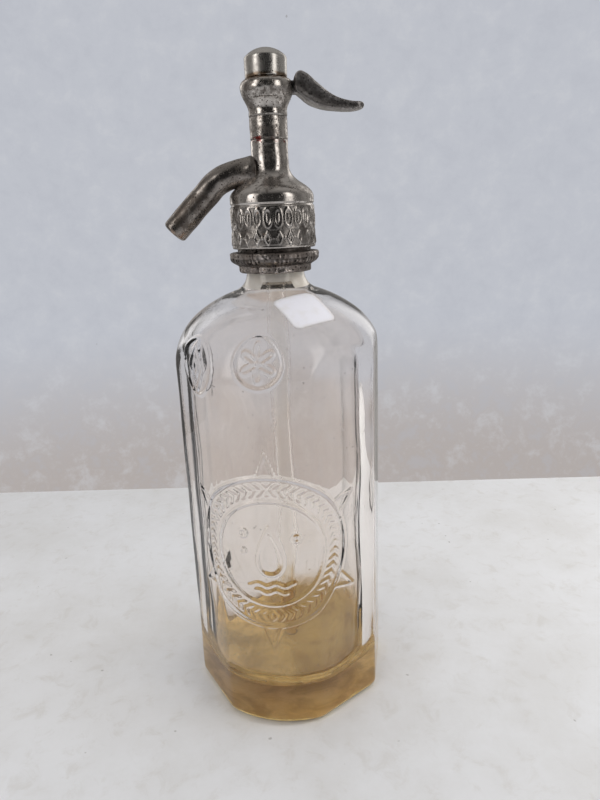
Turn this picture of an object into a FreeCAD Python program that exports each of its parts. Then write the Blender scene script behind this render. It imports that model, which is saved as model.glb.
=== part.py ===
import FreeCAD, Part
import math
import os

os.makedirs("parts", exist_ok=True)
V = FreeCAD.Vector

# Soda siphon. Millimetres, +Z up, origin on the table under the bottle's axis.
# The spout points along -X and the lever along +X, so the front of the bottle faces -Y.
# Directions round the axis are in degrees from +X, turning towards +Y.

# Bottle body: two round sectors, front and back, with flats between them
body_r = 50.0
round_sector_deg = 55.0
sector_dir = -102.2
flats_per_side = 3
edge_round = 3.0
heel_r = 4.0
base_recess_r = 32.0
base_recess_h = 2.5
floor_t = 14.0
floor_corner_r = 14.0
corner_wall = 7.0

# Bottle shoulder: a side arc and a crown arc, then a hollow fillet up to the neck
side_top_z = 170.0
shoulder_side_r = 32.0
shoulder_rise = 38.0
neck_r = 13.4
neck_fillet_r = 8.3
neck_wall = 3.9
inner_fillet_r = 10.0

# Bottle neck: the bead that the collar grips, and the mouth above it
neck_bare_h = 0.4
bead_out = 2.0
bead_h = 7.4
bead_round = 1.2
mouth_inset = 0.2
mouth_h = 8.0

# Raised frames on the glass: a tall oval on the front, and two small rings on the shoulder
relief_h = 0.8
relief_line = 1.6
oval_dir = -100.0
oval_z = 92.8
oval_half_w = 30.0
oval_half_h = 38.0
small_ring_dir = -101.0
small_ring_z = 180.0
small_ring_r = 11.0
side_ring_dir = -141.0
side_ring_z = 176.0
side_ring_r = 13.0

# Split collar
collar_grip_h = 5.3
collar_foot_wall = 3.24
collar_foot_h = 2.9
collar_flange_out = 1.64
collar_flange_h = 3.8
collar_flange_edge = 1.9
collar_sleeve_wall = 1.3
collar_sleeve_h = 13.1
collar_split_dir = -118.0

# Head body: the bell over the collar, a shoulder and the lower column
bell_gap = 1.5
bell_wall = 2.15
bell_h = 19.1
bell_shoulder_h = 14.6
column_r = 8.36
column_h = 12.4
passage_r = 2.8

# Washer between glass and head, and the parts that hold the dip tube
lip_washer_t = 2.4
ferrule_side_gap = 1.1
ferrule_wall = 1.1
ferrule_cup_h = 16.0
ferrule_top_t = 3.0
nipple_r = 5.0
nipple_grip_h = 6.8
ferrule_drop = 4.4
sleeve_lip_h = 2.0
tube_r = 5.0
tube_wall = 1.5
tube_floor_gap = 5.0

# Spout: flared root, level run, one bend, straight nozzle
spout_above_bell = 13.5
spout_r = 5.85
spout_bore_r = 3.5
spout_root_r = 7.7
spout_root_from = 7.0
spout_root_to = 19.0
spout_level_to = 12.8
spout_bend_r = 20.0
spout_bend_deg = 45.0
spout_nozzle_l = 26.3
spout_rim_round = 1.5
spout_nipple_wall = 0.8

# Valve chamber and seat
chamber_wall = 3.16
seat_bore_r = 2.4
seat_inset = 0.85
seat_h = 3.4
seat_lip_h = 0.5
seat_lip_w = 0.7
seat_below_spout = 7.0

# Valve housing: spigot, upper column, bulge with the lever slot, spigot for the cap
spigot_wall = 2.51
housing_spigot_h = 7.5
upper_column_h = 11.0
bulge_out = 3.24
bulge_rise = 10.3
bulge_fall = 4.2
bulge_rim_out = 0.84
packing_bore_inset = 1.2
packing_floor_h = 4.0
packing_h = 5.0
gland_h = 6.0
gland_top_gap = 2.0
cap_spigot_wall = 2.1
cap_spigot_h = 5.0

# Valve stem, washer and screw
stem_r = 1.6
holder_gap = 1.2
holder_h = 1.8
washer_inset = 0.1
washer_t = 2.0
screw_r = 1.0
screw_head_r = 2.0
screw_head_h = 1.2
screw_l = 6.0
block_gap = 1.4
block_below_pivot = 7.3
block_above_pivot = 3.2
guide_l = 6.2

# Spring over the stem, and its washer
spring_washer_gap = 0.8
spring_washer_t = 0.8
spring_over_stem = 1.1
spring_wire_r = 0.4
spring_turns = 5

# Cap and its gasket
gasket_t = 0.4
cap_wall = 1.78
cap_rim_out = 0.12
cap_side_h = 6.7
cap_dome_h = 4.0
cap_edge_round = 0.8
cap_roof_t = 2.8
cap_inner_out = 0.3

# Lever: pivot, neck and tongue, and the thumb piece with its width at the root and the tip
pivot_inset = 3.4
pivot_below_bulge = 0.5
pin_r = 1.25
neck_w = 4.4
neck_half_h = 2.7
boss_r = 2.9
tongue_w = 4.0
tongue_half_h = 0.9
tongue_tip_r = 1.5
thumb_w = 12.5
thumb_tip_w = 9.0
slot_side_gap = 0.3
slot_up = 3.4
slot_down = 4.6

# Paper label on the shoulder
label_side = 19.0
label_corner_r = 3.0
label_t = 0.2
label_dir = -68.0
label_tilt = 58.0
label_turn = 38.0

# Clearances
fit_gap = 0.05
loose_gap = 0.2
pin_gap = 0.06
stem_gap = 0.08
seat_gap = 0.02

# Radii that follow from the walls and gaps above
mouth_bore_r = neck_r - neck_wall
bead_r = neck_r + bead_out
mouth_r = neck_r - mouth_inset
collar_foot_r = neck_r + loose_gap + collar_foot_wall
collar_sleeve_r = bead_r + loose_gap + collar_sleeve_wall
bell_r = collar_sleeve_r + fit_gap + bell_wall
collar_flange_r = bell_r + collar_flange_out
ferrule_r = mouth_bore_r - ferrule_side_gap
cup_bore_r = ferrule_r - ferrule_wall
chamber_r = column_r - chamber_wall
housing_spigot_r = column_r - spigot_wall
packing_bore_r = chamber_r - packing_bore_inset
seat_r = chamber_r - seat_inset
holder_r = chamber_r - holder_gap
washer_r = holder_r - washer_inset
block_r = chamber_r - block_gap
bulge_r = column_r + bulge_out
bulge_rim_r = column_r + bulge_rim_out
cap_spigot_r = chamber_r + cap_spigot_wall
cap_foot_r = cap_spigot_r + fit_gap + cap_wall
cap_rim_r = cap_foot_r + cap_rim_out
cap_inner_r = chamber_r + cap_inner_out
pivot_x = bulge_r - pivot_inset
spring_washer_r = chamber_r - spring_washer_gap
spring_mean_r = stem_r + spring_over_stem + spring_wire_r
spout_nipple_r = spout_bore_r + spout_nipple_wall

# Heights that follow from the sizes above
flat_deg = (360.0 - 2.0 * round_sector_deg) / (2 * flats_per_side)
side_arc_centre = (body_r - shoulder_side_r, side_top_z)
crown_r = (side_arc_centre[0] ** 2 + shoulder_rise ** 2 - shoulder_side_r ** 2)
crown_r = crown_r / (2.0 * (shoulder_rise - shoulder_side_r))
crown_centre = (0.0, side_top_z + shoulder_rise - crown_r)
neck_z = crown_centre[1] + math.sqrt((crown_r + neck_fillet_r) ** 2 - (neck_r + neck_fillet_r) ** 2)
collar_z = neck_z + neck_bare_h
bead_z = collar_z + collar_grip_h
lip_z = bead_z + bead_h + mouth_h
flange_top_z = bead_z + collar_flange_h
bell_z = flange_top_z + bell_gap
bell_top_z = bell_z + bell_h
column_z = bell_top_z + bell_shoulder_h
joint_z = column_z + column_h
face_z = lip_z + lip_washer_t
spout_z = bell_top_z + spout_above_bell
seat_top_z = spout_z - seat_below_spout
seat_z = seat_top_z - seat_h
bulge_start_z = joint_z + upper_column_h
bulge_z = bulge_start_z + bulge_rise
bulge_top_z = bulge_z + bulge_fall
pivot_z = bulge_z - pivot_below_bulge
cap_z = bulge_top_z + gasket_t
cap_spigot_z = bulge_top_z + cap_spigot_h
apex_z = cap_z + cap_side_h + cap_dome_h
ceiling_z = apex_z - cap_roof_t
cup_z = face_z - ferrule_drop - ferrule_top_t - ferrule_cup_h
cup_top_z = cup_z + ferrule_cup_h
block_z = pivot_z - block_below_pivot
block_top_z = pivot_z + block_above_pivot


def polar(centre, radius, degrees):
    turn = math.radians(degrees)
    return (centre[0] + radius * math.cos(turn), centre[1] + radius * math.sin(turn))


# One arc of a turned profile, given by its centre, radius and two angles
def arc(centre, radius, start_deg, end_deg):
    middle = polar(centre, radius, (start_deg + end_deg) / 2.0)
    return (middle, polar(centre, radius, end_deg))


# A solid of revolution: steps are points (r, z), or arcs given as (middle, end)
def turned(start, steps):
    edges = []
    here = V(start[0], 0, start[1])
    first = here
    for step in steps:
        if isinstance(step[0], tuple):
            middle = V(step[0][0], 0, step[0][1])
            end = V(step[1][0], 0, step[1][1])
            edges.append(Part.Arc(here, middle, end).toShape())
        else:
            end = V(step[0], 0, step[1])
            edges.append(Part.makeLine(here, end))
        here = end
    edges.append(Part.makeLine(here, first))
    return Part.Face(Part.Wire(edges)).revolve(V(0, 0, 0), V(0, 0, 1), 360)


def disc(radius, low, high):
    return Part.makeCylinder(radius, high - low, V(0, 0, low))


def ring(inner, outer, low, high):
    return disc(outer, low, high).cut(disc(inner, low, high))


def block(low, high):
    size = [b - a for a, b in zip(low, high)]
    return Part.makeBox(size[0], size[1], size[2], V(*low))


# A cylinder along Y, centred on the XZ plane
def cross_pin(radius, length, x, z):
    return Part.makeCylinder(radius, length, V(x, -length / 2.0, z), V(0, 1, 0))


def out_from_axis(degrees):
    turn = math.radians(degrees)
    return V(math.cos(turn), math.sin(turn), 0)


# Two equal arcs that lead from one radius to another and stay vertical at both ends
def s_curve(from_r, from_z, to_r, to_z):
    rise = to_z - from_z
    step = to_r - from_r
    turn = 2.0 * math.degrees(math.atan(abs(step) / rise))
    radius = rise / (2.0 * math.sin(math.radians(turn)))
    if step < 0:
        first = arc((from_r - radius, from_z), radius, 0.0, turn)
        second = arc((to_r + radius, to_z), radius, 180.0 + turn, 180.0)
    else:
        first = arc((from_r + radius, from_z), radius, 180.0, 180.0 - turn)
        second = arc((to_r - radius, to_z), radius, -turn, 0.0)
    return [first, second]


# The shoulder's steps, from the top of the side to the neck, moved outwards by grow
def shoulder_steps(top_r, fillet_r, grow):
    sx = side_arc_centre[0]
    side_end = math.degrees(math.atan2(side_top_z - crown_centre[1], sx))
    reach = crown_r + grow + fillet_r
    fillet_x = top_r + fillet_r
    fillet_z = crown_centre[1] + math.sqrt(reach ** 2 - fillet_x ** 2)
    crown_end = math.degrees(math.atan2(fillet_z - crown_centre[1], fillet_x))
    return [
        arc(side_arc_centre, shoulder_side_r + grow, 0.0, side_end),
        arc(crown_centre, crown_r + grow, side_end, crown_end),
        arc((fillet_x, fillet_z), fillet_r, crown_end + 180.0, 180.0),
    ]


# Plan of the body: a round sector, flats, a round sector, flats
def body_plan(grow):
    radius = body_r + grow
    edges = []
    angle = sector_dir - round_sector_deg / 2.0
    for side in range(2):
        points = [polar((0, 0), radius, angle + round_sector_deg * part) for part in (0.0, 0.5, 1.0)]
        start, middle, end = [V(x, y, 0) for x, y in points]
        edges.append(Part.Arc(start, middle, end).toShape())
        angle += round_sector_deg
        for flat in range(flats_per_side):
            start = V(*polar((0, 0), radius, angle), 0)
            end = V(*polar((0, 0), radius, angle + flat_deg), 0)
            edges.append(Part.makeLine(start, end))
            angle += flat_deg
    return Part.Face(Part.Wire(edges))


def upright(edge):
    a, b = [vertex.Point for vertex in edge.Vertexes][:2]
    return abs(a.z - b.z) > 1.0


# The bottle's outer form, moved outwards by grow; only the plain one has its edges rounded
def bottle_outer(grow):
    plan = body_plan(grow)
    prism = plan.extrude(V(0, 0, lip_z))
    if grow == 0:
        uprights = [e for e in prism.Edges if len(e.Vertexes) == 2 and upright(e)]
        prism = prism.makeFillet(edge_round, uprights)
        bottom = [e for e in prism.Edges if e.BoundBox.ZMax < 0.001]
        prism = prism.makeFillet(heel_r, bottom)
    bead_top = bead_z + bead_h
    steps = [(body_r + grow, 0), (body_r + grow, side_top_z)]
    steps += shoulder_steps(neck_r + grow, neck_fillet_r - grow, grow)
    steps += [(neck_r + grow, bead_z)]
    if grow == 0:
        steps += [
            (bead_r - bead_round, bead_z),
            arc((bead_r - bead_round, bead_z + bead_round), bead_round, -90.0, 0.0),
            (bead_r, bead_top - bead_round),
            arc((bead_r - bead_round, bead_top - bead_round), bead_round, 0.0, 90.0),
            (mouth_r, bead_top),
            (mouth_r, lip_z - bead_round),
            arc((mouth_r - bead_round, lip_z - bead_round), bead_round, 0.0, 90.0),
        ]
    steps += [(0, steps[-1][1] if grow else lip_z)]
    return turned((0, 0), steps).common(prism)


# A raised line: the band between two ovals or circles, carried out from the axis
def oval_band(direction, z, half_w, half_h):
    out = out_from_axis(direction)
    solids = []
    for inset in (0.0, relief_line):
        tall, wide = half_h - inset, half_w - inset
        if abs(tall - wide) < 1e-6:
            edge = Part.makeCircle(tall, V(0, 0, z), out)
        else:
            oval = Part.Ellipse(V(0, 0, tall), out.cross(V(0, 0, 1)) * wide, V(0, 0, 0))
            oval.translate(V(0, 0, z))
            edge = oval.toShape()
        solids.append(Part.Face(Part.Wire([edge])).extrude(out * 2.0 * body_r))
    return solids[0].cut(solids[1])


def make_bottle():
    outer = bottle_outer(0.0)
    raised = bottle_outer(relief_h)
    bands = [
        oval_band(oval_dir, oval_z, oval_half_w, oval_half_h),
        oval_band(small_ring_dir, small_ring_z, small_ring_r, small_ring_r),
        oval_band(side_ring_dir, side_ring_z, side_ring_r, side_ring_r),
    ]
    for band in bands:
        outer = outer.fuse(raised.common(band))
    inner_r = body_r - corner_wall
    steps = [
        (inner_r - floor_corner_r, floor_t),
        arc((inner_r - floor_corner_r, floor_t + floor_corner_r), floor_corner_r, -90.0, 0.0),
        (inner_r, side_top_z),
    ]
    steps += shoulder_steps(mouth_bore_r, inner_fillet_r, -corner_wall)
    steps += [(mouth_bore_r, lip_z + 1.0), (0, lip_z + 1.0)]
    outer = outer.cut(turned((0, floor_t), steps))
    recess_ball_r = (base_recess_r ** 2 + base_recess_h ** 2) / (2.0 * base_recess_h)
    return outer.cut(Part.makeSphere(recess_ball_r, V(0, 0, base_recess_h - recess_ball_r)))


# The whole collar before it is split: foot, flange with a sloped underside, threaded sleeve
def collar_ring():
    foot_top = collar_z + collar_foot_h
    edge_z = flange_top_z - collar_flange_edge
    outer = turned((0, collar_z), [
        (collar_foot_r - 0.5, collar_z),
        (collar_foot_r, collar_z + 0.5),
        (collar_foot_r, foot_top),
        (collar_foot_r + 0.9, foot_top),
        (collar_flange_r - 0.6, edge_z - 1.0),
        arc((collar_flange_r - 1.2, edge_z), 1.2, -60.0, 60.0),
        (collar_flange_r - 1.8, flange_top_z),
        (collar_sleeve_r, flange_top_z),
        (collar_sleeve_r, flange_top_z + collar_sleeve_h),
        (0, flange_top_z + collar_sleeve_h),
    ])
    above = flange_top_z + collar_sleeve_h + 1.0
    bore = disc(neck_r + loose_gap, collar_z - 1.0, bead_z)
    return outer.cut(bore).cut(disc(bead_r + loose_gap, bead_z, above))


def make_collar_half(direction):
    saw = block((loose_gap / 4.0, -2.0 * bell_r, collar_z - 1.0), (2.0 * bell_r, 2.0 * bell_r, bell_top_z))
    saw.rotate(V(0, 0, 0), V(0, 0, 1), direction)
    return collar_ring().common(saw)


def head_outer():
    steps = [(bell_r, bell_z), (bell_r, bell_top_z)]
    steps += s_curve(bell_r, bell_top_z, column_r, column_z)
    steps += [(column_r, joint_z), (0, joint_z)]
    return turned((0, bell_z), steps)


def make_head_body():
    spigot_floor = joint_z - housing_spigot_h - 2.0 * loose_gap
    body = head_outer()
    body = body.cut(disc(collar_sleeve_r + fit_gap, bell_z - 1.0, face_z))
    body = body.cut(disc(nipple_r + fit_gap, face_z - 1.0, face_z + nipple_grip_h + loose_gap))
    body = body.cut(disc(passage_r, face_z, seat_z + 1.0))
    body = body.cut(disc(seat_r + fit_gap, seat_z, seat_top_z))
    body = body.cut(disc(chamber_r, seat_top_z, spigot_floor))
    body = body.cut(disc(housing_spigot_r + fit_gap, spigot_floor, joint_z + 1.0))
    return body.cut(Part.makeCylinder(spout_nipple_r + fit_gap, bell_r, V(0, 0, spout_z), V(-1, 0, 0)))


# The spout's centre line: a level run, the bend and the nozzle, starting at distance from_x
def spout_path(from_x):
    start = V(-from_x, 0, spout_z)
    bend_start = V(-spout_level_to, 0, spout_z)
    centre = (-spout_level_to, spout_z - spout_bend_r)
    middle = polar(centre, spout_bend_r, 90.0 + spout_bend_deg / 2.0)
    end = polar(centre, spout_bend_r, 90.0 + spout_bend_deg)
    bend_end = V(end[0], 0, end[1])
    tip = bend_end + spout_direction() * spout_nozzle_l
    bend = Part.Arc(bend_start, V(middle[0], 0, middle[1]), bend_end).toShape()
    return Part.Wire([Part.makeLine(start, bend_start), bend, Part.makeLine(bend_end, tip)])


def spout_direction():
    turn = math.radians(spout_bend_deg)
    return V(-math.cos(turn), 0, -math.sin(turn))


def spout_tube(radius, from_x):
    section = Part.Wire([Part.makeCircle(radius, V(-from_x, 0, spout_z), V(1, 0, 0))])
    return spout_path(from_x).makePipeShell([section], True, False)


def make_spout():
    tube = spout_tube(spout_r, spout_root_from)
    tip = spout_path(spout_root_from).Vertexes[-1].Point
    rim = [e for e in tube.Edges if e.Closed and (e.CenterOfMass - tip).Length < 0.1]
    tube = tube.makeFillet(spout_rim_round, rim)
    root = Part.makeCone(spout_root_r, spout_r, spout_root_to - spout_root_from,
                         V(-spout_root_from, 0, spout_z), V(-1, 0, 0))
    nipple = Part.makeCylinder(spout_nipple_r, bell_r - chamber_r, V(-chamber_r, 0, spout_z), V(-1, 0, 0))
    seat = head_outer()
    outside = tube.fuse(root).cut(seat)
    inside = nipple.common(seat).cut(disc(chamber_r, bell_z, joint_z))
    return outside.fuse(inside).cut(spout_tube(spout_bore_r, 0.0))


def make_valve_seat():
    lip_z0 = seat_top_z - seat_lip_h
    base = ring(seat_bore_r, seat_r, seat_z, lip_z0)
    return base.fuse(ring(seat_bore_r, seat_bore_r + seat_lip_w, lip_z0, seat_top_z))


def housing_outer():
    reach = bulge_r - bulge_rim_r
    top_arc_r = (bulge_fall ** 2 + reach ** 2) / (2.0 * reach)
    top_end = math.degrees(math.asin(bulge_fall / top_arc_r))
    steps = [(column_r, joint_z), (column_r, bulge_start_z)]
    steps += s_curve(column_r, bulge_start_z, bulge_r, bulge_z)
    steps += [
        arc((bulge_r - top_arc_r, bulge_z), top_arc_r, 0.0, top_end),
        (0, bulge_top_z),
    ]
    return turned((0, joint_z), steps)


def make_valve_housing():
    gland_top = joint_z - packing_floor_h + packing_h + gland_h + gland_top_gap
    body = housing_outer()
    body = body.fuse(disc(housing_spigot_r, joint_z - housing_spigot_h, joint_z))
    body = body.fuse(disc(cap_spigot_r, bulge_top_z, cap_spigot_z))
    body = body.cut(disc(stem_r + stem_gap, joint_z - housing_spigot_h - 1.0, joint_z))
    body = body.cut(disc(packing_bore_r, joint_z - packing_floor_h, gland_top))
    body = body.cut(disc(chamber_r, gland_top, cap_spigot_z + 1.0))
    half_slot = neck_w / 2.0 + slot_side_gap
    slot = block((0, -half_slot, pivot_z - slot_down), (2.0 * bulge_r, half_slot, pivot_z + slot_up))
    return body.cut(slot).cut(cross_pin(pin_r, 3.0 * bulge_r, pivot_x, pivot_z))


def make_lever_pin():
    return cross_pin(pin_r, 3.0 * bulge_r, pivot_x, pivot_z).common(housing_outer())


def make_packing_ring():
    low = joint_z - packing_floor_h
    return ring(stem_r + fit_gap, packing_bore_r - fit_gap, low, low + packing_h)


def make_gland_ring():
    low = joint_z - packing_floor_h + packing_h
    return ring(stem_r + stem_gap, packing_bore_r - fit_gap, low, low + gland_h)


# The stem: washer holder, rod, slotted block for the lever's tongue, guide for the spring
def make_valve_stem():
    holder_z = seat_top_z + seat_gap + washer_t
    stem = disc(holder_r, holder_z, holder_z + holder_h)
    stem = stem.fuse(disc(stem_r, holder_z + holder_h, block_top_z + guide_l))
    stem = stem.fuse(disc(block_r, block_z, block_top_z))
    half_w = tongue_w / 2.0 + slot_side_gap
    pocket_half_h = tongue_tip_r + loose_gap
    pocket = block((-2.0, -half_w, pivot_z - pocket_half_h), (block_r, half_w, pivot_z + pocket_half_h))
    window = block((tongue_tip_r + 0.1, -half_w, pivot_z - 3.9), (block_r + 1.0, half_w, pivot_z + 1.9))
    hole = disc(screw_r, holder_z - 1.0, seat_top_z + seat_gap + screw_l)
    return stem.cut(pocket).cut(window).cut(hole)


def make_valve_washer():
    low = seat_top_z + seat_gap
    return ring(screw_r, washer_r, low, low + washer_t)


def make_washer_screw():
    top = seat_top_z + seat_gap
    head = disc(screw_head_r, top - screw_head_h, top)
    slit = block((-screw_head_r, -0.25, top - screw_head_h), (screw_head_r, 0.25, top - screw_head_h + 0.4))
    return head.cut(slit).fuse(disc(screw_r, top, top + screw_l))


def make_spring_washer():
    return ring(stem_r + fit_gap, spring_washer_r, block_top_z, block_top_z + spring_washer_t)


# The spring: one wire wound as a helix of quarter turns, each quarter a pair of tangent arcs
def spring_point(turns, low, height):
    turn = 2.0 * math.pi * turns
    rise = low + height * turns / spring_turns
    return V(spring_mean_r * math.cos(turn), spring_mean_r * math.sin(turn), rise)


def spring_tangent(turns, height):
    turn = 2.0 * math.pi * turns
    slope = height / (2.0 * math.pi * spring_turns)
    return V(-spring_mean_r * math.sin(turn), spring_mean_r * math.cos(turn), slope).normalize()


def make_spring():
    low = block_top_z + spring_washer_t + spring_wire_r + fit_gap
    height = ceiling_z - spring_wire_r - fit_gap - low
    edges = []
    for quarter in range(4 * spring_turns):
        a, b = quarter / 4.0, (quarter + 1) / 4.0
        p, q = spring_point(a, low, height), spring_point(b, low, height)
        t, s = spring_tangent(a, height), spring_tangent(b, height)
        chord = q - p
        # equal tangent lengths for the two arcs of the pair
        c2 = 2.0 * (1.0 - t.dot(s))
        c1 = 2.0 * chord.dot(t + s)
        c0 = -chord.dot(chord)
        reach = (-c1 + math.sqrt(c1 * c1 - 4.0 * c2 * c0)) / (2.0 * c2)
        join = (p + t * reach + q - s * reach) * 0.5
        for start, way, end in ((p, t, join), (join, (q - s * reach - join).normalize(), q)):
            side = end - start
            across = way.cross(side)
            inward = across.cross(way).normalize()
            radius = side.dot(side) / (2.0 * side.dot(inward))
            centre = start + inward * radius
            middle = centre + ((start + end) * 0.5 - centre).normalize() * radius
            edges.append(Part.Arc(start, middle, end).toShape())
    path = Part.Wire(edges)
    start, way = spring_point(0, low, height), spring_tangent(0, height)
    section = Part.Wire([Part.makeCircle(spring_wire_r, start, way)])
    wire = path.makePipeShell([section], True, False)
    # least gap between neighbouring turns, measured on points of the centre line
    samples = [spring_point(i / 48.0, low, height) for i in range(48 * spring_turns + 1)]
    far_pairs = [(a - b).Length for i, a in enumerate(samples) for b in samples[i + 24:]]
    print("spring: least gap to itself %.2f mm" % (min(far_pairs) - 2.0 * spring_wire_r))
    return wire


def make_top_cap():
    rim_z = cap_z + cap_side_h
    dome_r = (cap_rim_r ** 2 + cap_dome_h ** 2) / (2.0 * cap_dome_h)
    edge_deg = math.degrees(math.asin((cap_rim_r - cap_edge_round) / dome_r))
    edge_x, edge_z = polar((0, apex_z - dome_r), dome_r, 90.0 - edge_deg)
    outer = turned((0, cap_z), [
        (cap_foot_r, cap_z),
        (cap_rim_r, rim_z - cap_edge_round),
        ((cap_rim_r - 0.2, (rim_z - cap_edge_round + edge_z) / 2.0 + 0.25), (edge_x, edge_z)),
        arc((0, apex_z - dome_r), dome_r, 90.0 - edge_deg, 90.0),
    ])
    outer = outer.cut(disc(cap_spigot_r + fit_gap, cap_z - 1.0, cap_spigot_z + loose_gap))
    return outer.cut(disc(cap_inner_r, cap_z, ceiling_z))


def make_cap_gasket():
    return ring(cap_spigot_r + fit_gap, cap_foot_r - loose_gap, bulge_top_z, cap_z)


def smooth_edge(points):
    curve = Part.BSplineCurve()
    curve.interpolate([V(pivot_x + x, 0, pivot_z + z) for x, z in points])
    return curve.toShape()


# The thumb piece seen from the side, from its root by the head to its thin tip
def thumb_side():
    top = [(3.3, 3.8), (6.1, 5.6), (9.1, 4.6), (13.5, 0.9), (19.9, -3.9), (28.0, -6.6), (34.0, -7.1)]
    under = [(34.0, -8.3), (28.0, -8.7), (21.5, -8.4), (14.5, -7.4), (9.0, -5.3), (5.3, -2.6)]
    edges = [smooth_edge(top), smooth_edge(under)]
    for a, b in ((top[-1], under[0]), (under[-1], top[0])):
        edges.append(Part.makeLine(V(pivot_x + a[0], 0, pivot_z + a[1]), V(pivot_x + b[0], 0, pivot_z + b[1])))
    return Part.Face(Part.Wire(Part.__sortEdges__(edges)))


# The thumb piece seen from above: it narrows towards a round tip
def thumb_plan():
    tip_r = thumb_tip_w / 2.0
    root_x = pivot_x
    tip_x = pivot_x + 34.0
    low = pivot_z - 20.0
    half = thumb_w / 2.0
    edges = [
        Part.makeLine(V(root_x, half, low), V(root_x, -half, low)),
        Part.makeLine(V(root_x, -half, low), V(tip_x - tip_r, -tip_r, low)),
        Part.Arc(V(tip_x - tip_r, -tip_r, low), V(tip_x, 0, low), V(tip_x - tip_r, tip_r, low)).toShape(),
        Part.makeLine(V(tip_x - tip_r, tip_r, low), V(root_x, half, low)),
    ]
    return Part.Face(Part.Wire(edges)).extrude(V(0, 0, 40.0))


def make_lever():
    side = thumb_side()
    side.translate(V(0, -thumb_w, 0))
    thumb = side.extrude(V(0, 2.0 * thumb_w, 0)).common(thumb_plan())
    neck = block((pivot_x, -neck_w / 2.0, pivot_z - neck_half_h),
                 (pivot_x + 6.0, neck_w / 2.0, pivot_z + neck_half_h))
    boss = cross_pin(boss_r, neck_w, pivot_x, pivot_z)
    tongue = block((0, -tongue_w / 2.0, pivot_z - tongue_half_h),
                   (pivot_x, tongue_w / 2.0, pivot_z + tongue_half_h))
    tip = cross_pin(tongue_tip_r, tongue_w, 0, pivot_z)
    lever = thumb.fuse([neck, boss, tongue, tip])
    return lever.cut(cross_pin(pin_r + pin_gap, 2.0 * thumb_w, pivot_x, pivot_z))


def make_lip_washer():
    return ring(mouth_bore_r + loose_gap, mouth_r, lip_z, face_z)


def make_tube_ferrule():
    cup = ring(cup_bore_r, ferrule_r, cup_z, cup_top_z)
    top = ring(passage_r, ferrule_r, cup_top_z, cup_top_z + ferrule_top_t)
    nipple = ring(passage_r, nipple_r, cup_top_z + ferrule_top_t, face_z + nipple_grip_h)
    return cup.fuse([top, nipple])


def make_tube_sleeve():
    sleeve = ring(tube_r + fit_gap, cup_bore_r - fit_gap, cup_z, cup_top_z)
    return sleeve.fuse(ring(tube_r + fit_gap, ferrule_r - loose_gap, cup_z - sleeve_lip_h, cup_z))


def make_dip_tube():
    return ring(tube_r - tube_wall, tube_r, floor_t + tube_floor_gap, cup_top_z - loose_gap)


# The label: a thin shell on the shoulder, cut to a square with round corners
def make_paper_label():
    shell_steps = [(body_r + label_t, side_top_z)]
    shell_steps += shoulder_steps(neck_r + label_t, neck_fillet_r - label_t, label_t)
    shell = turned((0, side_top_z), shell_steps + [(0, neck_z)]).cut(bottle_outer(0.0))
    half = label_side / 2.0
    square = block((-half, -half, 0), (half, half, 2.0 * body_r))
    corners = [e for e in square.Edges if upright(e)]
    square = square.makeFillet(label_corner_r, corners)
    square.rotate(V(0, 0, 0), V(0, 0, 1), label_turn)
    square.rotate(V(0, 0, 0), V(0, 1, 0), 90.0 - label_tilt)
    square.rotate(V(0, 0, 0), V(0, 0, 1), label_dir)
    square.translate(V(0, 0, crown_centre[1]))
    return shell.common(square)


parts = {
    "bottle": make_bottle(),
    "collar_half_left": make_collar_half(collar_split_dir - 90.0),
    "collar_half_right": make_collar_half(collar_split_dir + 90.0),
    "lip_washer": make_lip_washer(),
    "head_body": make_head_body(),
    "valve_housing": make_valve_housing(),
    "spout": make_spout(),
    "valve_seat": make_valve_seat(),
    "packing_ring": make_packing_ring(),
    "gland_ring": make_gland_ring(),
    "top_cap": make_top_cap(),
    "cap_gasket": make_cap_gasket(),
    "lever": make_lever(),
    "lever_pin": make_lever_pin(),
    "valve_stem": make_valve_stem(),
    "valve_washer": make_valve_washer(),
    "washer_screw": make_washer_screw(),
    "spring_washer": make_spring_washer(),
    "spring": make_spring(),
    "dip_tube": make_dip_tube(),
    "tube_sleeve": make_tube_sleeve(),
    "tube_ferrule": make_tube_ferrule(),
    "paper_label": make_paper_label(),
}

for name, shape in parts.items():
    if len(shape.Solids) != 1 or not shape.isValid():
        print("%s: %d solids, valid %s" % (name, len(shape.Solids), shape.isValid()))
    shape.exportStep("parts/%s.step" % name)
print("pivot %.2f %.2f, seat %.2f, ceiling %.2f, apex %.2f" % (pivot_x, pivot_z, seat_top_z, ceiling_z, apex_z))
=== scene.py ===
import math
from types import SimpleNamespace

import bpy
import numpy as np
from mathutils import Matrix


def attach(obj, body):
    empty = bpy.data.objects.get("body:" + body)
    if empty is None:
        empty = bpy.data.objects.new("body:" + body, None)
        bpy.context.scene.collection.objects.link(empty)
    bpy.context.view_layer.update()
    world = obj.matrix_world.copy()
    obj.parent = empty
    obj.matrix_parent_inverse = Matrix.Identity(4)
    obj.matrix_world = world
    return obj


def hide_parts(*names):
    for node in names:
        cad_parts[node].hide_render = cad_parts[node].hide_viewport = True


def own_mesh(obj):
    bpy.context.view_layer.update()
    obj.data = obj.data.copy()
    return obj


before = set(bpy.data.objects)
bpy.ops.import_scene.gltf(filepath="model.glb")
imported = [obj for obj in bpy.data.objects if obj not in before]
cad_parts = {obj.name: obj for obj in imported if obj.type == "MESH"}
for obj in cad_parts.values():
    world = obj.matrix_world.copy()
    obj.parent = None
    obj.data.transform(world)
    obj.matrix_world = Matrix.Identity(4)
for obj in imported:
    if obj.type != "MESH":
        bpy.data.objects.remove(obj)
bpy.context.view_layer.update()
print("frame loaded:", len(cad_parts), "nodes")

# Lengths below are in millimetres, and become metres when a mesh or a lamp is made.
# Directions on the siphon are degrees from +X towards +Y, so the front is -90.
toMetres = 0.001


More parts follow.
